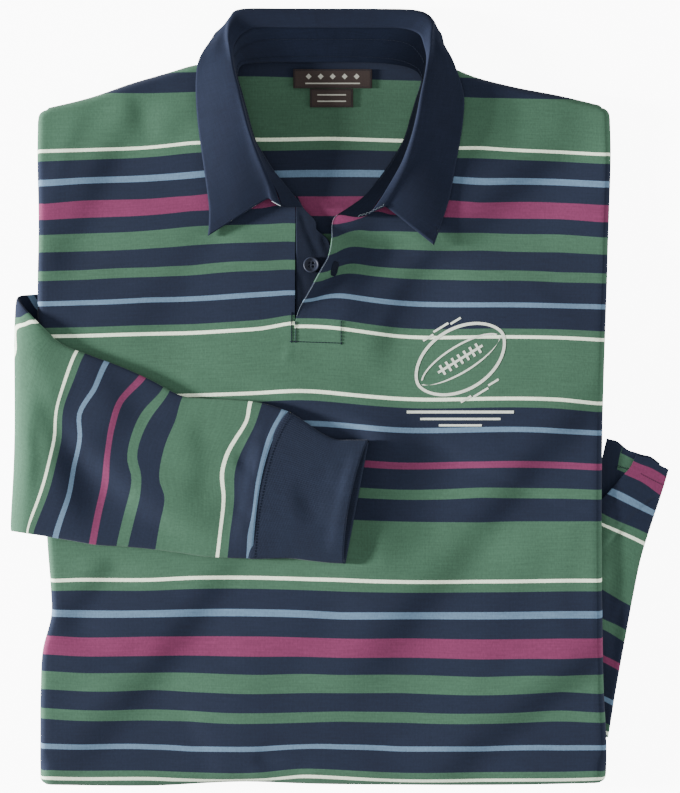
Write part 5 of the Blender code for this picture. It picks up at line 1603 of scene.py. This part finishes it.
# %% [markdown]
# ## Print
# A pale screen print sits on the chest below the button, on the wearer's left. It is a generic
# one: a tilted ball with panel seams and lacing between short strokes, over three bars. Ink lies
# on the cloth as a film thinner than a hair, so each shape is a flat outline that is laid a
# fraction of a millimetre above the front and follows its folds.

# %% Print shapes
PRINT_X, PRINT_Y, BALL_TURN = 90.0, 28.0, 0.55
INK_UP = 0.16


class Print(Cloth):
    def at(self, x, y):
        x, y = np.asarray(x, float), np.asarray(y, float)
        return np.stack((x, y, front_height(x, y) + INK_UP), axis=-1)

    def band(self, x0, y0, x1, y1):
        grid = self.at(np.stack((x0, x1), axis=1), np.stack((y0, y1), axis=1))
        return self.add(grid, grid[..., 0], grid[..., 1])

    def bar(self, left, bottom, right, top):
        xs = np.linspace(left, right, max(2, int(right - left)))
        return self.band(xs, np.full(xs.shape, top), xs, np.full(xs.shape, bottom))


def ball_place(across, along):
    cos, sin = math.cos(BALL_TURN), math.sin(BALL_TURN)
    return PRINT_X + across * cos - along * sin, PRINT_Y + across * sin + along * cos


def ball_line(half_long, half_wide, angle):
    swing = np.sin(angle)
    return ball_place(half_long * np.cos(angle), half_wide * np.sign(swing) * np.abs(swing) ** 1.15)


film = Print()
Arc = namedtuple("Arc", "half_long half_wide width start end count")
for arc in (Arc(38.0, 24.0, 2.3, 0.0, 2.0 * math.pi, 90),
            Arc(34.0, 10.5, 1.5, 0.18, math.pi - 0.18, 60),
            Arc(34.0, -10.5, -1.5, 0.18, math.pi - 0.18, 60)):
    angle = np.linspace(arc.start, arc.end, arc.count)
    film.band(*ball_line(arc.half_long, arc.half_wide, angle),
              *ball_line(arc.half_long - arc.width, arc.half_wide - arc.width, angle))
tall = np.array((4.0, -4.0))
for step in range(-3, 4):
    film.band(*ball_place(step * 5.2 - 0.9, tall), *ball_place(step * 5.2 + 0.9, tall))
lace = np.linspace(-19.5, 19.5, 30)
film.band(*ball_place(lace, 0.9), *ball_place(lace, -0.9))
for half in (-1.0, 1.0):
    for place, long in ((-1, 9.0), (0, 13.0), (1, 9.0)):
        dash = np.linspace(place * 12.0 - long / 2.0, place * 12.0 + long / 2.0, 8)
        away = half * (28.5 - 1.5 * abs(place))
        film.band(*ball_place(dash, away), *ball_place(dash, away - 1.6))
for bar in (Box(50.0, -12.6, 130.0, -10.6), Box(60.0, -17.6, 120.0, -16.0), Box(74.0, -22.4, 106.0, -20.8)):
    film.bar(*bar)
chest_print = film.make("chest_print", PRINT_INK)

# %% [markdown]
# ## Floor and light
# A pale floor under soft studio light. One wide lamp stands far off to the left and only a
# little above the table, so that its light grazes the cloth and every soft fold gets a lit and
# a shaded side. A white sky fills the rest. The floor glows as a light table does, but its glow
# lights only itself. The tail lies in the body's shadow and has a lamp of its own, and the inside
# of the collar, which the fall would shade, is left out of the wide lamp's light.

# %% Studio
FLOOR_GLOW = 9.0
SKY_LIGHT = 0.75

bpy.ops.mesh.primitive_plane_add(size=6.0, location=(0.0, 0.0, -0.0002))
floor = bpy.context.object
floor.name = "floor"
paper, tree, shader = finish("floor_paper", roughness=0.9)
place = node(tree, "ShaderNodeTexCoord").outputs["Object"]
pale = rescaled(tree, noise(tree, place, 40.0, 2.0), 0.0, 1.0, 0.86, 0.9)
dye(tree, shader, (pale, pale, pale))
shader.inputs["Emission Color"].default_value = (1.0, 1.0, 1.0, 1.0)
shader.inputs["Emission Strength"].default_value = FLOOR_GLOW
floor.data.materials.append(paper)


def light_on(source, name, *pieces):
    group = bpy.data.collections.new(name)
    for piece in pieces:
        group.objects.link(piece)
    source.light_linking.receiver_collection = group
    return group


def lamp(name, place, aim, size, power):
    data = bpy.data.lights.new(name, "AREA")
    data.shape, data.size, data.energy = "SQUARE", size, power
    made = in_scene(name, data)
    made.location = place
    toward = np.array(aim) - np.array(place)
    made.rotation_euler = (math.atan2(math.hypot(toward[0], toward[1]), -toward[2]), 0.0,
                           math.atan2(-toward[0], toward[1]))
    return made


light_on(floor, "lit_by_the_floor", floor)
key = lamp("key", (-4.9, 0.15, 0.86), (0.0, 0.0, 0.0), 0.52, 1340.0)
shaded = light_on(key, "not_lit_by_the_key", collar_stand)
shaded.collection_objects[0].light_linking.link_state = "EXCLUDE"
tail_lamp = lamp("tail", (-3.6, 0.1, 2.2), (0.2, -0.15, 0.0), 0.5, 240.0)
light_on(tail_lamp, "lit_by_the_tail_lamp", tail_back, tail_front, tail_stitches)
lamp("bounce", (4.5, -0.6, 1.1), (0.0, 0.0, 0.0), 2.0, 175.0)
world = bpy.data.worlds.new("studio")
world.use_nodes = True
sky = world.node_tree.nodes["Background"].inputs
sky["Color"].default_value = (1.0, 1.0, 1.0, 1.0)
sky["Strength"].default_value = SKY_LIGHT
bpy.context.scene.world = world
print("studio ready")

# %% [markdown]
# ## Which solid each cloth stands for
# Every piece rides on the shirt's one body, and the fine cloths replace their plain solids.

# %% Pieces and sheets
STANDS_FOR = (
    (front, ("front_panel", "placket_upper"), "striped_jersey"),
    (back_inside, ("back_panel",), "striped_jersey"),
    (under_placket, ("placket_under",), "navy_twill"),
    (collar_stand, ("collar_stand",), "navy_twill"),
    (collar_fall, ("collar_fall",), "navy_twill"),
    (sleeve, ("right_sleeve",), "striped_jersey"),
    (cuff, ("right_cuff",), "navy_rib"),
    (tail_back, ("tail_back",), "striped_jersey"),
    (tail_front, ("tail_front",), "striped_jersey"),
    (layers, ("folded_layers",), "striped_jersey"),
    (button, ("button",), "button_plastic"),
    (neck_label, ("neck_label",), "woven_label"),
    (size_label, ("size_label",), "woven_label"),
)
for piece, nodes, slot in STANDS_FOR:
    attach(piece, "root")
    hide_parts(*nodes)
SEWN_ON = (
    (placket_stitches, "navy_twill"), (edge_stitches, "navy_twill"), (buttonhole, "navy_twill"),
    (button_stitches, "button_plastic"), (label_motifs, "woven_label"),
    (collar_stitches, "navy_twill"), (stand_ends, "navy_twill"), (stand_bars, "navy_twill"),
    (cuff_stitches, "navy_rib"), (tail_stitches, "striped_jersey"), (label_stitches, "woven_label"),
    (chest_print, "striped_jersey"),
)
for piece, slot in SEWN_ON:
    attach(piece, "root")
print(len(STANDS_FOR) + len(SEWN_ON), "pieces ride on the shirt")

# %% [markdown]
# ## Cut of each sheet
# Each sheet of cloth says how wide and long it was cut and how it is held. Widths, lengths and
# areas are in metres here.

# %% Sheets
Sheet = namedtuple("Sheet", "piece width length area held rests_on with_pieces")
